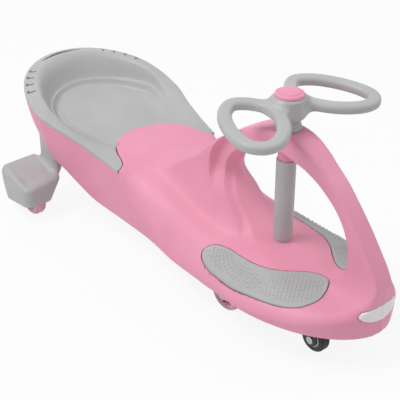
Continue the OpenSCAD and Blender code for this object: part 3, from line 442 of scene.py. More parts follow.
def hump_rise(x):
    """Height above the deck of the hump that leads from the seat up to the arch."""
    crest = curve([(DIP_X, rim_top(DIP_X)), (TONGUE_X - 6, SEAT_Z + 6), (HORN_X, SEAT_Z + 3),
                   (COLUMN_X - 252, SEAT_Z + 5), (COLUMN_X - 211, SEAT_Z + 17),
                   (COLUMN_X - 171, SEAT_Z + 20), (COLUMN_X - 134, SEAT_Z + 6),
                   (COLUMN_X - 100, DECK_Z + 26), (COLUMN_X - 60, DECK_Z + 8),
                   (COLUMN_X - 30, DECK_Z + 1), (COLUMN_X, DECK_Z)], x)
    return np.where(x < COLUMN_X, np.maximum(crest - deck_top(x), 0), 0)


# Rounding of the shoulders: its limits, as shares of the side's height and of the half-width
BLEND_OF_HEIGHT, LEAST_OF_HEIGHT = 1.1, 2
BLEND_OF_WIDTH, LEAST_OF_WIDTH = 0.45, 1
# The deck and the sides end inside the rounding, and rounding beyond EDGE_BLEND lifts the deck's edge
EDGE_BLEND = 22
EDGE_SHARE = 0.75
EDGE_LIFT = 0.14
# Least half-width over which the deck is crowned, half-width of the hump, and outward bow of the sides
CROWN_LEAST = 40
HUMP_WIDTH = 58
SIDE_BOW = 0.6


def shoulder_blend(x):
    """Size of the rounding between the top and the sides."""
    size = curve([(HORN_X, 6), (HORN_X + 40, 36), (COLUMN_X - 150, 54), (COLUMN_X - 60, 36),
                  (COLUMN_X + 10, 22), (COLUMN_X + 90, 14), (NOSE_X, 12)], x)
    height = BLEND_OF_HEIGHT * np.maximum(shoulder_z(x) - skirt_edge(x), 0) + LEAST_OF_HEIGHT
    return np.minimum(size, np.minimum(height, BLEND_OF_WIDTH * shoulder_y(x) + LEAST_OF_WIDTH))


def deck_surface(x, y):
    """Height of the crowned deck."""
    blend = shoulder_blend(x)
    edge = np.maximum(shoulder_y(x) - EDGE_SHARE * np.minimum(blend, EDGE_BLEND), CROWN_LEAST)
    side = shoulder_z(x) + EDGE_LIFT * np.maximum(blend - EDGE_BLEND, 0)
    middle = deck_top(x)
    return middle - (middle - side) * (y / edge) ** 2


def top_surface(x, y):
    """Height of the deck with the hump behind the arch."""
    bell = 0.5 + 0.5 * np.cos(math.pi * np.clip(np.abs(y) / HUMP_WIDTH, 0, 1))
    return deck_surface(x, y) + hump_rise(x) * bell


def side_width(x, z):
    """Half-width of the body at a height."""
    w, low_w = shoulder_y(x), skirt_y(x)
    high = shoulder_z(x) - EDGE_SHARE * np.minimum(shoulder_blend(x), EDGE_BLEND)
    foot = np.minimum(skirt_edge(x), high - 1)
    s = np.clip((z - foot) / (high - foot), 0, 1)
    return low_w + (w - low_w) * ((1 + SIDE_BOW) * s - SIDE_BOW * s * s)


def sides(x, y, z):
    """Field of everything between the body's two sides, its rear end and its nose."""
    side = (np.abs(y) - side_width(x, z)) / steepness(side_width, x, z)
    return np.maximum(side, np.maximum(x - NOSE_X, REAR_X - x))


# Arch over the window: its outer and inner edges from the column, in X and Z
ARCH_LOW = ARCH_Z - ARCH_THICK
ARCH_OUTER = [(-234, SEAT_Z - 8), (-206, ARCH_Z - 129), (-171, ARCH_Z - 101), (-153, ARCH_Z - 81),
              (-126, ARCH_Z - 58), (-99, ARCH_Z - 40), (-77, ARCH_Z - 26), (-44, ARCH_Z - 9),
              (0, ARCH_Z), (34, ARCH_Z - 3), (67, ARCH_Z - 17), (91, ARCH_Z - 34),
              (112, ARCH_Z - 50), (131, ARCH_Z - 69), (149, ARCH_Z - 90), (166, ARCH_Z - 112),
              (183, ARCH_Z - 136), (198, DECK_Z + 37), (207, DECK_Z + 18), (212, DECK_Z),
              (215, DECK_Z - 20), (214, DECK_Z - 50)]
ARCH_INNER = [(142, DECK_Z - 14), (146, DECK_Z + 33), (143, DECK_Z + 60), (132, ARCH_LOW - 74),
              (116, ARCH_LOW - 52), (97, ARCH_LOW - 35), (77, ARCH_LOW - 21), (56, ARCH_LOW - 10),
              (28, ARCH_LOW - 2), (0, ARCH_LOW), (-40, ARCH_LOW - 9), (-72, ARCH_LOW - 30),
              (-90, ARCH_LOW - 46), (-101, DECK_Z + 99), (-104, DECK_Z + 81), (-97, DECK_Z + 61),
              (-76, DECK_Z + 35), (-40, DECK_Z - 4), (-20, DECK_Z - 20)]
ARCH_POINTS = 3
# Rounding of its edges, finer on the front leg, and where the legs start
ARCH_EDGE, FRONT_EDGE = 8, 5
FRONT_LEG = (COLUMN_X + 60, COLUMN_X + 120)
REAR_LEG = (COLUMN_X - 25, COLUMN_X - 70)
# The rear leg is wider, draws in at the window's wall and has a scoop in its upper part
REAR_SPREAD = 12
WALL_SPREAD, WALL_BAND = 13, (10, 3)
SCOOP_BAND = (38, 30)
SCOOP_HEIGHTS = (DECK_Z + 42, DECK_Z + 86)


def open_curve(keys, n):
    """Smooth open curve through points, with n points for each stretch."""
    keys = np.array(keys, float)
    t = np.arange((len(keys) - 1) * n + 1) / n
    return np.stack([curve(np.stack([np.arange(len(keys)), keys[:, k]], 1), t) for k in (0, 1)], 1)


arch_outer = open_curve(ARCH_OUTER, ARCH_POINTS) + (COLUMN_X, 0)
arch_inner = open_curve(ARCH_INNER, ARCH_POINTS) + (COLUMN_X, 0)
arch_outline = np.concatenate([arch_outer, arch_inner])


def arch_width(x, z):
    """Half-width of the arch: narrow at the window's rear wall, with a scoop behind it in the rear leg."""
    crest = curve([(-234, 22), (-171, 19), (-99, 22), (-44, 24), (34, 24), (67, 21), (91, 18), (133, 16),
                   (168, 17), (230, 18)], x - COLUMN_X)
    inner = outline_distance(arch_inner, x, z, closed=False)
    scoop = ease(z, *SCOOP_HEIGHTS) * ease(inner, *SCOOP_BAND)
    return crest + ease(x, *REAR_LEG) * (REAR_SPREAD * (1 - scoop) - WALL_SPREAD * ease(inner, *WALL_BAND))


def arch(x, y, z):
    """Field of the arch with the column's window in it."""
    edge = ARCH_EDGE - (ARCH_EDGE - FRONT_EDGE) * ease(x, *FRONT_LEG)
    return meet(outline_distance(arch_outline, x, z), np.abs(y) - arch_width(x, z), edge)


# Seat: its place on the body, its edges and its dish

SEAT_STEP, SEAT_MARGIN = 1.6, 20
SEAT_THICK = 6
SEAT_ROUND, FRONT_ROUND = 2, 1.5
# Raised rear: where it starts and its extra height at the rear end
REAR_STRETCH = (SEAT_X + 62, SEAT_X - 30)
REAR_LIFT = 8
# Drop of the seam and of the seat's edge below the rim, and the extra drop at the rear
SEAM_DROP, REAR_SEAM_DROP = 4.5, 3.5
EDGE_DROP, REAR_EDGE_DROP = 0.5, 2.5
# Band at the edge where the seat reaches down to the seam, and the body's opening below the seat there
EDGE_BAND = 9
SEAM_LIFT = 0.2
BED_DROP, BED_FALL, BED_BAND = 4, 5, 6
# Dish, and the rim, ridge and bead round its rear, which move inwards towards the rear end
FLOOR_SLOPE = 0.17
DISH_INSET = (3, 64)
RIM_WIDTH, RIM_WIDEN = 22, 3
RIDGE_RISE = 8
BEAD_INSET, BEAD_BACK, WALL_FOOT = 36, 38, 2
BEAD_HEIGHT, BEAD_SPREAD = 4, 3.4
GROOVE_DEPTH, GROOVE_SPREAD, GROOVE_OFF = 3.5, 5, 9
# Hand slot, and vents with a stepped head at angles from the rear end in degrees
SLOT_WIDTH, SLOT_INSET, SLOT_DEPTH = 92, 9, 9
VENT_ANGLES = (38, 47, 56, 65)
VENT_DEPTH = 5
VENT_INSET, VENT_REACH, VENT_HALF = 12, 7, 1.6
HEAD_INSET, HEAD_REACH, HEAD_OFF, HEAD_HALF = 6.5, 2, 2.6, 3.4

seat_angles = np.radians(np.arange(-85, 86, 5))
seat_sides = np.linspace(SEAT_X, HORN_X + 12, 22)
seat_outline = np.concatenate([
    np.stack([SEAT_X - (SEAT_X - REAR_X) * np.cos(seat_angles), HALF_SEAT * np.sin(seat_angles)], 1),
    np.stack([seat_sides, shoulder_y(seat_sides)], 1),
    np.stack([seat_sides, -shoulder_y(seat_sides)], 1)[::-1]])


def seat_rear(x):
    """1 where the seat has its raised rear rim, fading to 0 towards its horns."""
    return ease(x, *REAR_STRETCH)


def rear_share(x):
    """0 at the seat's middle, 1 at its rear end."""
    return np.clip((SEAT_X - x) / (SEAT_X - REAR_X), 0, 1)


def rim_lift(x):
    """Rise of the rim towards the rear, above the body's own line."""
    return REAR_LIFT * rear_share(x)


def seam_z(x):
    """Height of the seam between the body's side and the seat."""
    return rim_top(x) + rim_lift(x) - SEAM_DROP - REAR_SEAM_DROP * seat_rear(x)


def tongue_edge(y):
    """Place along the car of the seat's front edge."""
    return SEAT_X + curve([(0, 79), (25, 85), (50, 101), (70, 122), (80, 140), (86, 157), (91, 167),
                           (98, 173), (112, 178), (130, 181)], np.abs(y))


def seat_front(x, y):
    """Distance ahead of the seat's front edge."""
    slope = (tongue_edge(np.abs(y) + 1) - tongue_edge(np.abs(y) - 1)) / 2
    return (x - tongue_edge(y)) / np.sqrt(1 + slope**2)


def seat_top(x, y):
    """Height of the seat's upper surface: a dish with a sloping rim, a back wall and a bead round it."""
    inset = -outline_distance(seat_outline, x, y)
    back = seat_rear(x)
    rear = rear_share(x)
    edge = rim_top(x) - EDGE_DROP - REAR_EDGE_DROP * back + rim_lift(x)
    floor = SEAT_Z + FLOOR_SLOPE * np.maximum(TONGUE_X - x, 0)
    dish = edge + (floor - edge) * ease(inset, *DISH_INSET)
    rim_w = RIM_WIDTH + RIM_WIDEN * rear
    bead = BEAD_INSET + BEAD_BACK * rear
    ridge = edge + (RIDGE_RISE - rear) * np.clip(inset / rim_w, 0, 1)
    wall = ridge + (dish - ridge) * ease(inset, rim_w, bead - WALL_FOOT)
    lip = (BEAD_HEIGHT * np.exp(-((inset - bead) / BEAD_SPREAD) ** 2)
           - GROOVE_DEPTH * np.exp(-((inset - bead - GROOVE_OFF) / GROOVE_SPREAD) ** 2))
    return dish + back * (wall - dish + lip)


def seat_bed(x, y):
    """Height down to which the body is open: the seam at the seat's edge, and below the seat inside it."""
    inset = -outline_distance(seat_outline, x, y)
    below = np.where(inset < EDGE_BAND, BED_DROP + BED_FALL * ease(inset, 0, BED_BAND), 2 * SEAT_THICK)
    return np.minimum(seam_z(x), seat_top(x, y) - below)


def hand_slot(x, y):
    """Field of the lens-shaped slot in the rear rim."""
    rear = SEAT_X - (SEAT_X - REAR_X) * np.sqrt(np.clip(1 - (y / HALF_SEAT) ** 2, 0, 1)) + SLOT_INSET
    half = SLOT_DEPTH / 2 * (1 - (2 * y / SLOT_WIDTH) ** 2)
    return np.abs(x - rear - SLOT_DEPTH / 2) - half


def vents(x, y):
    """Field of the short stepped slots across the rim on each side."""
    out = np.inf
    for angle in VENT_ANGLES:
        a = math.radians(angle)
        cx, cy = SEAT_X - (SEAT_X - REAR_X) * math.cos(a), HALF_SEAT * math.sin(a)
        radial = (x - cx) * math.cos(a) - (np.abs(y) - cy) * math.sin(a)
        across = (x - cx) * math.sin(a) + (np.abs(y) - cy) * math.cos(a)
        line = np.maximum(np.abs(radial - VENT_INSET) - VENT_REACH, np.abs(across) - VENT_HALF)
        head = np.maximum(np.abs(radial - HEAD_INSET) - HEAD_REACH, np.abs(across + HEAD_OFF) - HEAD_HALF)
        out = np.minimum(out, np.minimum(line, head))
    return out


def seat(x, y, z):
    """Field of the seat: a sheet under its upper surface, deeper at its edge, with its slots."""
    inset = -outline_distance(seat_outline, x, y)
    top = seat_top(x, y)
    steep = steepness(seat_top, x, y)
    upper = (z - top) / steep
    edge = np.where(inset < EDGE_BAND, seam_z(x) + SEAM_LIFT - z, np.inf)
    form = np.maximum(meet(upper, -inset, SEAT_ROUND), np.minimum(-upper - SEAT_THICK, edge))
    form = meet(form, seat_front(x, y) + SEAM / 2, FRONT_ROUND)
    form = np.maximum(form, -hand_slot(x, y))
    return np.maximum(form, -np.maximum(vents(x, y), (top - VENT_DEPTH - z) / steep))


def make_seat():
    """Seat in the body's opening."""
    piece = moulding("seat_moulding", seat, node_box("seat"), SEAT_STEP, margin=SEAT_MARGIN)
    place(piece, "car_body", "grey_plastic", GREY, "seat")


# Body, with the badge on its nose

BODY_STEP = 2.5
# Fillet between the arch and the deck, with what each foot adds to it and where
ARCH_FILLET = 26
FRONT_FILLET, FRONT_FOOT_AT = 20, (COLUMN_X + 80, COLUMN_X + 140)
REAR_FILLET, REAR_FOOT_AT = 14, (COLUMN_X - 60, COLUMN_X - 100)
# Rounding of the shoulders against their blend, less where the front leg runs into the nose
ROUNDING, LEAST_ROUNDING = 1.2, 1
LEG_AT, LEG_HALF = (COLUMN_X + 120, COLUMN_X + 160), (44, 16)
LEG_CRISPNESS = 0.85
SKIRT_ROUND = 3
SEAM_ROUND = 1.5
# Extra wall under the pads and in the nose
PAD_WALL, PAD_WALL_BAND = 5, (16, 6)
NOSE_WALL, NOSE_WALL_AT = 4, (NOSE_X - 60, NOSE_X - 25)
# Boss under the arch's top, and bores for the shaft and the upper bush
BOSS_R, BOSS_LOW, BOSS_TOP = 13.5, 266, ARCH_Z - 20
BOSS_ROUND, BOSS_FILLET = 1.5, 4
SHAFT_BORE = 7.6
BUSH_BORE, BUSH_LOW = 19.6, 313
# Badge: an oval seen from the front, on the part of the nose ahead of NOSE_REACH
BADGE_STEP, BADGE_MARGIN = 1, 3
BADGE_HALF_W, BADGE_HALF_H = 39, 13.5
BADGE_Z = DECK_Z - 26
BADGE_RISE, BADGE_SINK, BADGE_ROUND, BADGE_POCKET = 0.8, 1.8, 1.2, 2
NOSE_REACH, BADGE_REACH = 40, 32
# Foot pads: their outline from the column, on the right, and the pockets they lie in
PAD_KEYS = [(-80, -97), (-76, -88), (-65, -79), (-46, -74), (-21, -73), (6, -71), (32, -65), (56, -52),
            (76, -35), (94, -22), (112, -18), (128, -31), (134, -54), (127, -74), (115, -88), (96, -99),
            (66, -108), (26, -114), (-13, -114), (-51, -111), (-73, -105)]
PAD_GROOVE = 1.5
PAD_POCKET = 5
PAD_CLIMB = 14
LOOP_POINTS = 4
pad_outline = smooth_loop(PAD_KEYS, LOOP_POINTS) + (COLUMN_X, 0)


def rounding(x):
    """Size of the smooth meeting of the top and the sides."""
    return ROUNDING * shoulder_blend(x)


def body_form(x, y, z):
    """Field of the body's outside with its arch."""
    top = (z - top_surface(x, y)) / steepness(top_surface, x, y)
    fillet = FRONT_FILLET * ease(x, *FRONT_FOOT_AT) + REAR_FILLET * ease(x, *REAR_FOOT_AT)
    with_arch = join(top, arch(x, y, z), ARCH_FILLET + fillet)
    leg = ease(x, *LEG_AT) * ease(np.abs(y), *LEG_HALF)
    return meet(with_arch, sides(x, y, z), rounding(x) * (1 - LEG_CRISPNESS * leg) + LEAST_ROUNDING)


def badge_oval(x, y, z):
    """Field of the badge's outline, seen from the front."""
    oval = BADGE_HALF_H * (np.hypot(y / BADGE_HALF_W, (z - BADGE_Z) / BADGE_HALF_H) - 1)
    return np.maximum(oval, NOSE_X - NOSE_REACH - x)


def pad_reach(x, y, z):
    """Distance from a pad's outline in plan, and distance outside the band near the deck where pads lie."""
    plan = outline_distance(pad_outline, x, -np.abs(y))
    return plan, np.abs(z - deck_surface(x, y)) - PAD_CLIMB


def body(x, y, z):
    """Field of the body: a shell with the seat's opening, the pads' pockets and the column's bores."""
    form = skin = body_form(x, y, z)
    column = np.hypot(x - COLUMN_X, y)
    form = join(form, cylinder(column, z, BOSS_R, BOSS_LOW, BOSS_TOP, BOSS_ROUND), BOSS_FILLET)
    badge_pocket = np.maximum(badge_oval(x, y, z) - SEAM, -form - BADGE_POCKET)
    form = meet(form, skirt_edge(x) - z, SKIRT_ROUND)
    pad, climb = pad_reach(x, y, z)
    deck = (z - deck_surface(x, y)) / steepness(deck_surface, x, y)
    wall = SHELL + PAD_WALL * ease(pad, *PAD_WALL_BAND) + NOSE_WALL * ease(x, *NOSE_WALL_AT)
    form = np.maximum(form, -(meet(deck, sides(x, y, z), rounding(x) + LEAST_ROUNDING) + wall))
    form = meet(form, SEAM - np.maximum(seat_front(x, y), seat_bed(x, y) - z), SEAM_ROUND)
    pocket = np.maximum(np.maximum(pad - PAD_GROOVE, -skin - PAD_POCKET), climb)
    form = np.maximum(np.maximum(form, -pocket), -badge_pocket)
    bores = np.minimum(column - SHAFT_BORE, np.maximum(column - BUSH_BORE, BUSH_LOW - z))
    return np.maximum(form, -bores)


def make_body():
    """Body with its arch."""
    piece = moulding("body_shell_moulding", body, node_box("body_shell"), BODY_STEP)
    place(piece, "car_body", "body_pink", PINK, "body_shell")


def badge(x, y, z):
    """Field of the blank badge on the nose."""
    form = body_form(x, y, z)
    return np.maximum(meet(form - BADGE_RISE, badge_oval(x, y, z), BADGE_ROUND), -form - BADGE_SINK)


def make_badge():
    """Blank badge, let into the nose."""
    low = np.array((NOSE_X - BADGE_REACH, -BADGE_HALF_W, BADGE_Z - BADGE_HALF_H))
    high = np.array((NOSE_X, BADGE_HALF_W, BADGE_Z + BADGE_HALF_H))
    piece = moulding("nose_badge_plate", badge, (low, high), BADGE_STEP, margin=BADGE_MARGIN)
    place(piece, "car_body", "badge_white", WHITE, "nose_badge")


# Foot pads

PAD_STEP, PAD_MARGIN = 1.1, 24
PAD_RISE = 0.8
PAD_THICK = 2.2
PAD_TREAD = 1.5
PAD_EDGE = 1.5
# Tread: its fade at the pad's edge, where each kind starts, the dots' arcs and the rows of knobs
TREAD_FADE = (2, 9)
TREAD_REAR, TREAD_AHEAD, TREAD_OUTER = (-10, -30), (40, 66), (76, 88)
ARC_U, ARC_V = -40, 40
ARC_PITCH, ARC_DOTS, DOT_FLOOR = 0.8, 36, -0.2
KNOB_ROW, KNOB_LINE, KNOB_FLOOR = (0.7, 0.2), (-0.15, 0.74), -0.1


def pad_relief(x, y):
    """Tread on a pad: arcs of dots behind, a smooth band in the middle and rougher knobs ahead."""
    u, v = x - COLUMN_X, np.abs(y)
    arc = np.hypot(u - ARC_U, v - ARC_V)
    dots = np.sin(arc * ARC_PITCH) * np.sin(np.arctan2(v - ARC_V, u - ARC_U) * ARC_DOTS)
    knobs = np.sin(u * KNOB_ROW[0] + v * KNOB_ROW[1]) * np.sin(v * KNOB_LINE[1] + u * KNOB_LINE[0])
    rear, ahead, outer = ease(u, *TREAD_REAR), ease(u, *TREAD_AHEAD), ease(v, *TREAD_OUTER)
    dotted = np.maximum(rear, outer * (1 - ahead)) * np.maximum(dots, DOT_FLOOR)
    tread = dotted + ahead * np.maximum(knobs, KNOB_FLOOR)
    return PAD_TREAD * tread * ease(-outline_distance(pad_outline, x, -v), *TREAD_FADE)


def foot_pad(x, y, z):
    """Field of both foot pads, which lie in the body's pockets."""
    skin = body_form(x, y, z)
    outline = np.maximum(*pad_reach(x, y, z))
    return np.maximum(meet(skin - PAD_RISE - pad_relief(x, y), outline, PAD_EDGE), -skin - PAD_THICK)


def make_pads():
    """Foot pad on each side, in its pocket."""
    for side in SIDES:
        box = node_box(f"foot_pad_{side}")
        piece = moulding(f"foot_pad_{side}_tread", foot_pad, box, PAD_STEP, margin=PAD_MARGIN)
        place(piece, "car_body", "grey_plastic", PAD, f"foot_pad_{side}")


# Steering wheel, its cap and the column's sleeve

WHEEL_STEP = 1.8
WHEEL_Z = 352
WHEEL_TILT = math.radians(4)
LOOP_KEYS = [(-53, 63), (-47, 82), (-31, 100), (-5, 116), (24, 126), (49, 127), (65, 114), (68, 96),
             (61, 76), (47, 57), (29, 42), (7, 31), (-18, 30), (-40, 43)]
# Section of the loops: half-width and half-height of its flat core, and the rounding about it
GRIP_FLAT, GRIP_TALL, GRIP_ROUND = 4.5, 1.5, 6
# Hub with a collar that narrows upwards, and its bores for the shaft and the nut
HUB_TOP = 369.5
HUB_R, HUB_BELOW, HUB_EDGE = 25.5, 16, 4
COLLAR_R, COLLAR_LOW, COLLAR_TAPER, COLLAR_EDGE = 22, 318, 0.35, 2
HUB_FILLET, GRIP_FILLET = 10, 20
WHEEL_BORE = 7.2
NUT_R, NUT_DEPTH, NUT_CLEAR, NUT_EDGE = 14, 12, 30, 0.5
# Profiles of the cap and the sleeve
CAP_CORNERS = [(0, 0), (22.5, 0), (22.5, 4.4), (17.8, 6.5), (17.3, 5.7), (16.5, 5.9), (16, 7.1),
               (8, 8.5), (0, 9)]
CAP_RADII = [0, 0.5, 2, 0.3, 0.3, 0.3, 0.4, 4, 0]
CAP_GAP = 0.2
SLEEVE_BORE, SLEEVE_R = 7.3, 15.5
SLEEVE_RADII = [0.4, 1.5, 1.5, 0.4]
loop_path = smooth_loop(LOOP_KEYS, LOOP_POINTS)


def steering_wheel(x, y, z):
    """Field of the steering wheel: two flattened loops, tilted a little, on a hub with a tapering collar."""
    u = (x - COLUMN_X) * math.cos(WHEEL_TILT) - (z - WHEEL_Z) * math.sin(WHEEL_TILT)
    w = (x - COLUMN_X) * math.sin(WHEEL_TILT) + (z - WHEEL_Z) * math.cos(WHEEL_TILT)
    rim = np.abs(outline_distance(loop_path, u, np.abs(y)))
    flat, tall = np.maximum(rim - GRIP_FLAT, 0), np.maximum(np.abs(w) - GRIP_TALL, 0)
    grip = np.sqrt(flat**2 + tall**2) - GRIP_ROUND
    column = np.hypot(x - COLUMN_X, y)
    hub = cylinder(column, z, HUB_R, WHEEL_Z - HUB_BELOW, HUB_TOP, HUB_EDGE)
    taper = COLLAR_TAPER * (z - COLLAR_LOW)
    collar = cylinder(column + taper, z, COLLAR_R, COLLAR_LOW, WHEEL_Z, COLLAR_EDGE)
    form = join(grip, join(hub, collar, HUB_FILLET), GRIP_FILLET)
    nut_room = cylinder(column, z, NUT_R, HUB_TOP - NUT_DEPTH, HUB_TOP + NUT_CLEAR, NUT_EDGE)
    return np.maximum(form, -np.minimum(column - WHEEL_BORE, nut_room))


def make_steering_wheel():
    """Steering wheel with two loops."""
    piece = moulding("steering_wheel_moulding", steering_wheel, node_box("steering_wheel"), WHEEL_STEP)
    place(piece, "steering", "grey_plastic", GREY, "steering_wheel")


def make_cap():
    """Domed cap on the hub, with a shallow ring pressed into it."""
    profile = rounded_profile(CAP_CORNERS, CAP_RADII)
    piece = turned("hub_cap_dome", profile, (COLUMN_X, 0, HUB_TOP + CAP_GAP))
    place(piece, "steering", "body_pink", PINK, "hub_cap")


def make_sleeve():
    """Tube round the steering shaft."""
    low, high = node_box("column_sleeve")
    corners = [(SLEEVE_BORE, low[2]), (SLEEVE_R, low[2]), (SLEEVE_R, high[2]), (SLEEVE_BORE, high[2])]
    piece = turned("column_sleeve_tube", rounded_profile(corners, SLEEVE_RADII), (COLUMN_X, 0, 0))
    place(piece, "steering", "grey_plastic", GREY, "column_sleeve")


# Rear outriggers: a boot over each rear wheel and a neck up to the pan

REAR_WHEEL = joint_at["rear_wheel_left_spin"]
OUTRIGGER_STEP, OUTRIGGER_MARGIN = 2, 24
# Boot, with x from the wheel's axle: its box, its top, and its lower edge, which rises forward
BOOT_MIDDLE, BOOT_HALF, BOOT_ROUND = (-11, 143, 41), (48, 42, 50), 15
BOOT_TOP = 86
BOOT_LOW, LOW_U, LOW_SLOPE = 27, -40, 0.1
# Planes that cut the box: the rear and inner walls, with their slope and its steepness, and the facet
# on top, with a lip round it
REAR_U, REAR_Z, REAR_SLOPE, REAR_STEEP, REAR_ROUND = -42, 24, 0.35, 1.06, 12
INNER_SLOPE, INNER_STEEP, INNER_ROUND = 0.6, 1.16, 10
FACET_U, FACET_V, FACET_NORMAL, FACET_ROUND = -20, 155, (0.24, 0.1, 0.97), 7
LIP_DEPTH, LIP_BAND, LIP_FADE = 5, (2, 26), (34, 6)
# Neck: its box, the bend of its inner wall, and its end above the skirt's edge
NECK_Y = 87
NECK_MIDDLE, NECK_HALF, NECK_ROUND = (-8, NECK_Y + 9, 105), (25, 14, 62), 8
NECK_INNER, BEND_Z, BEND_SLOPE, BEND_STEEP, BEND_ROUND = NECK_Y - 5, 96, 0.8, 1.28, 6
NECK_FILLET = 14
NECK_OVERLAP, SKIRT_STEEP = 5, 1.1
# Well for the wheel
WELL_R, WELL_HALF = 33, 13


def boot(u, v, z):
    """Field of a boot: a rounded box with slanting rear and inner walls and a facetted top with a lip."""
    box = round_box(u, v, z, BOOT_MIDDLE, BOOT_HALF, BOOT_ROUND)
    rear = (REAR_U - REAR_SLOPE * (z - REAR_Z) - u) / REAR_STEEP
    slant = INNER_SLOPE * np.maximum(BOOT_TOP - z, 0)
    inner = (BOOT_MIDDLE[1] - BOOT_HALF[1] + slant - v) / INNER_STEEP
    lip = LIP_DEPTH * ease(-box, *LIP_BAND) * ease(u, *LIP_FADE)
    along, across, up = FACET_NORMAL
    facet = along * (u - FACET_U) + across * (v - FACET_V) + up * (z - BOOT_TOP) + lip
    return meet(meet(meet(box, rear, REAR_ROUND), inner, INNER_ROUND), facet, FACET_ROUND)


def neck(u, v, z):
    """Field of the neck, which bends outwards into the boot."""
    box = round_box(u, v, z, NECK_MIDDLE, NECK_HALF, NECK_ROUND)
    bend = BEND_SLOPE * np.maximum(BEND_Z - z, 0)
    return meet(box, (NECK_INNER + bend - v) / BEND_STEEP, BEND_ROUND)


def outrigger(x, y, z):
    """Field of both outriggers, with a well for each wheel."""
    u, v = x - REAR_WHEEL[0], np.abs(y)
    form = join(boot(u, v, z), neck(u, v, z), NECK_FILLET)
    low = BOOT_LOW + LOW_SLOPE * (u - LOW_U)
    above_skirt = (z - skirt_edge(x) - NECK_OVERLAP) / SKIRT_STEEP
    form = np.maximum(form, np.maximum(low - z, above_skirt))
    above = z - REAR_WHEEL[2]
    well = np.minimum(np.hypot(u, above) - WELL_R, np.maximum(np.abs(u) - WELL_R, above))
    return np.maximum(form, -np.maximum(well, np.abs(v - REAR_WHEEL[1]) - WELL_HALF))


def make_outriggers():
    """Boot and neck on each side, as one moulding."""
    for side in SIDES:
        box = node_box(f"rear_outrigger_{side}")
        piece = moulding(f"rear_outrigger_{side}_moulding", outrigger, box, OUTRIGGER_STEP,
                         margin=OUTRIGGER_MARGIN)
        place(piece, "car_body", "grey_plastic", GREY, f"rear_outrigger_{side}")


# Wheels

# Profiles of the tyres, as radius and height along the axle
TYRE_CORNERS = [(20.2, -9.5), (27, -10), (31, -6.5), (31, 6.5), (27, 10), (20.2, 9.5)]
TYRE_RADII = [0.8, 4, 6, 6, 4, 0.8]
NOSE_TYRE_CORNERS = [(14.2, -8.6), (20, -9), (23, -6), (23, -2.6), (22.2, -2.2), (22.2, 2.2),
                     (23, 2.6), (23, 6), (20, 9), (14.2, 8.6)]
NOSE_TYRE_RADII = [0.6, 2.5, 3, 0.5, 0.4, 0.4, 0.5, 3, 2.5, 0.6]
# Hubs: each has a web between two ringed recesses, and ribs across these
HUB_HALF, HUB_ROUND, HUB_MARGIN = 9, 0.8, 2
RECESS_HALF = 2.3
ROAD_HUB_R, ROAD_HUB_BOX, ROAD_HUB_STEP = 19.9, 20, 0.9
ROAD_RECESS_R, ROAD_WEB = 15.4, 4
ROAD_SPOKES, ROAD_SPOKE_HALF = 8, 1.4
ROAD_BORE, BEARING_BORE, BEARING_INSET = 8, 11, 3
NOSE_HUB_R, NOSE_HUB_BOX, NOSE_HUB_STEP = 13.9, 14, 0.7
NOSE_RECESS_R, NOSE_WEB = 9.3, 5.5
NOSE_SPOKES, NOSE_SPOKE_HALF = 5, 1.3
NOSE_BORE = 3.8


def ribbed_disc(r, v, angle, radius, recess_r, web, count, half):
    """Field of a disc with a ringed recess on each face, crossed by ribs, at height v along its axle."""
    form = cylinder(r, v, radius, -HUB_HALF, HUB_HALF, HUB_ROUND)
    recess = np.maximum(np.abs(r - recess_r) - RECESS_HALF, web - np.abs(v))
    share = 2 * math.pi / count
    ribs = r * np.abs(np.sin((angle % share) - share / 2)) - half
    return np.maximum(form, -np.maximum(recess, -ribs))


def road_hub(r, v, angle):
    """Field of a rear or front hub, with a bearing's seat in each face."""
    form = ribbed_disc(r, v, angle, ROAD_HUB_R, ROAD_RECESS_R, ROAD_WEB, ROAD_SPOKES, ROAD_SPOKE_HALF)
    seats = np.maximum(r - BEARING_BORE, BEARING_INSET - np.abs(v))
    return np.maximum(form, -np.minimum(r - ROAD_BORE, seats))


def nose_hub(r, v, angle):
    """Field of a nose wheel's hub."""
    form = ribbed_disc(r, v, angle, NOSE_HUB_R, NOSE_RECESS_R, NOSE_WEB, NOSE_SPOKES, NOSE_SPOKE_HALF)
    return np.maximum(form, NOSE_BORE - r)


def make_hub(name, hub, centre, radius, step):
    """Mesh of a hub about a wheel's axle."""
    def field(x, y, z):
        u, w = x - centre[0], z - centre[2]
        return hub(np.hypot(u, w), y - centre[1], np.arctan2(w, u))

    half = np.array((radius, HUB_HALF, radius))
    return moulding(name, field, (centre - half, centre + half), step, margin=HUB_MARGIN)


def make_wheel(which, side):
    """Tyre and hub of one wheel."""
    centre = joint_at[f"{which}_wheel_{side}_spin"]
    body_name = f"{which}_wheel_{side}"
    tyre, hub = f"{which}_tyre_{side}", f"{which}_hub_{side}"
    if which == "nose":
        ring = turned(f"{tyre}_ring", rounded_profile(NOSE_TYRE_CORNERS, NOSE_TYRE_RADII), centre, "Y")
        place(ring, body_name, "black_tyre", RUBBER, tyre)
        disc = make_hub(f"{hub}_disc", nose_hub, centre, NOSE_HUB_BOX, NOSE_HUB_STEP)
        place(disc, body_name, "nose_hub", HUB, hub)
    else:
        ring = turned(f"{tyre}_ring", rounded_profile(TYRE_CORNERS, TYRE_RADII), centre, "Y")
        place(ring, body_name, "clear_pink", CLEAR, tyre)
        disc = make_hub(f"{hub}_disc", road_hub, centre, ROAD_HUB_BOX, ROAD_HUB_STEP)
        place(disc, body_name, "clear_pink", CLEAR, hub)


def make_wheels():
    """All six wheels."""
    for side in SIDES:
        for which in ("rear", "front", "nose"):
            make_wheel(which, side)


# Camera, light and floor: places in metres, angles in degrees and the lens in millimetres

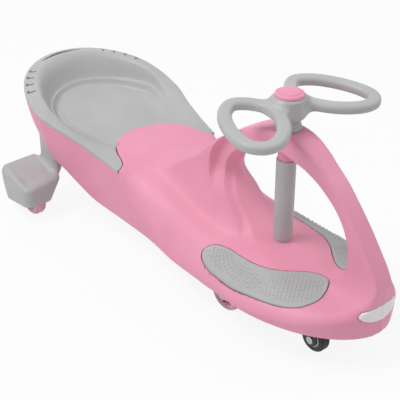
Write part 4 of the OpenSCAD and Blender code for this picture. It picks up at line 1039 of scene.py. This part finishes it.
CAMERA_AT = (COLUMN_X * MM + 0.9208, -0.9706, 0.9858)
CAMERA_AZIMUTH = 40.9
CAMERA_ELEVATION = 30.8
CAMERA_LENS, CAMERA_SENSOR = 90.1, 36
LIGHT_TARGET = (0, 0, 0.1)
KEY_AT, KEY_SIZE, KEY_POWER = (-0.55, -1.3, 2.75), 1.5, 44
FILL_AT, FILL_SIZE, FILL_POWER = (1.2, 1.8, 2.2), 2.0, 12
AMBIENT = 0.43
WHITE_LIGHT = (1, 1, 1, 1)
FLOOR_HALF = 5
FLOOR_COLOUR = (0.9, 0.9, 0.9, 1)
FLOOR_ROUGHNESS = 0.9
FLOOR_GLOW = 0.9


def make_camera():
    """Camera at the photograph's viewing angle."""
    data = bpy.data.cameras.new("camera")
    data.lens = CAMERA_LENS
    data.sensor_width = CAMERA_SENSOR
    camera = bpy.data.objects.new("camera", data)
    camera.location = CAMERA_AT
    tilt, turn = 90 - CAMERA_ELEVATION, 90 - CAMERA_AZIMUTH
    camera.rotation_euler = (math.radians(tilt), 0, math.radians(turn))
    bpy.context.scene.collection.objects.link(camera)
    bpy.context.scene.camera = camera


def seen_directly(tree):
    """1 for rays from the camera and for mirrored or refracted ones, which then see the white backdrop."""
    path = tree.nodes.new("ShaderNodeLightPath")
    total = path.outputs["Is Camera Ray"]
    for name in ("Is Glossy Ray", "Is Transmission Ray"):
        most = tree.nodes.new("ShaderNodeMath")
        most.operation = "MAXIMUM"
        tree.links.new(total, most.inputs[0])
        tree.links.new(path.outputs[name], most.inputs[1])
        total = most.outputs["Value"]
    return total


def make_world():
    """Even white light from all sides, in front of a white backdrop."""
    world = bpy.data.worlds.new("studio")
    bpy.context.scene.world = world
    world.use_nodes = True
    tree = world.node_tree
    ambient = tree.nodes["Background"]
    ambient.inputs["Color"].default_value = WHITE_LIGHT
    ambient.inputs["Strength"].default_value = AMBIENT
    white = tree.nodes.new("ShaderNodeBackground")
    white.inputs["Color"].default_value = WHITE_LIGHT
    mix = tree.nodes.new("ShaderNodeMixShader")
    tree.links.new(seen_directly(tree), mix.inputs["Fac"])
    tree.links.new(ambient.outputs[0], mix.inputs[1])
    tree.links.new(white.outputs[0], mix.inputs[2])
    tree.links.new(mix.outputs[0], tree.nodes["World Output"].inputs["Surface"])


def make_light(name, position, size, power):
    """Round lamp that faces the car."""
    data = bpy.data.lights.new(name, "AREA")
    data.shape = "DISK"
    data.size = size
    data.energy = power
    light = bpy.data.objects.new(name, data)
    light.location = position
    facing = Vector(LIGHT_TARGET) - Vector(position)
    light.rotation_euler = facing.to_track_quat("-Z", "Y").to_euler()
    bpy.context.scene.collection.objects.link(light)


def make_floor():
    """Pale floor that catches soft shadows and mostly glows white for the camera."""
    half = FLOOR_HALF / MM
    points = [(-half, -half, 0), (half, -half, 0), (half, half, 0), (-half, half, 0)]
    floor = add_mesh("floor", points, [(0, 1, 2, 3)])
    material = bpy.data.materials.new("pale_floor")
    material.use_nodes = True
    tree = material.node_tree
    shader = tree.nodes["Principled BSDF"]
    shader.inputs["Base Color"].default_value = FLOOR_COLOUR
    shader.inputs["Roughness"].default_value = FLOOR_ROUGHNESS
    glow = tree.nodes.new("ShaderNodeEmission")
    share = tree.nodes.new("ShaderNodeMath")
    share.operation = "MULTIPLY"
    share.inputs[1].default_value = FLOOR_GLOW
    mix = tree.nodes.new("ShaderNodeMixShader")
    tree.links.new(seen_directly(tree), share.inputs[0])
    tree.links.new(share.outputs[0], mix.inputs["Fac"])
    tree.links.new(shader.outputs[0], mix.inputs[1])
    tree.links.new(glow.outputs[0], mix.inputs[2])
    tree.links.new(mix.outputs[0], tree.nodes["Material Output"].inputs["Surface"])
    floor.data.materials.append(material)


make_camera()
make_world()
make_light("key", KEY_AT, KEY_SIZE, KEY_POWER)
make_light("fill", FILL_AT, FILL_SIZE, FILL_POWER)
make_floor()
bpy.context.scene.view_settings.view_transform = "Standard"

# Every CAD node gets the finish of its slot
slot_finish = {"body_pink": PINK, "grey_plastic": GREY, "clear_pink": CLEAR, "black_tyre": RUBBER,
               "nose_hub": HUB, "dark_plastic": DARK, "steel": STEEL, "badge_white": WHITE}
for subpart in frame["record"]["subparts"]:
    mesh = frame["nodes"][subpart["node"]].data
    mesh.materials.clear()
    mesh.materials.append(slot_finish[subpart["material_slot"]])

make_body()
make_badge()
make_seat()
make_pads()
make_steering_wheel()
make_cap()
make_sleeve()
make_outriggers()
make_wheels()

bpy.context.view_layer.update()
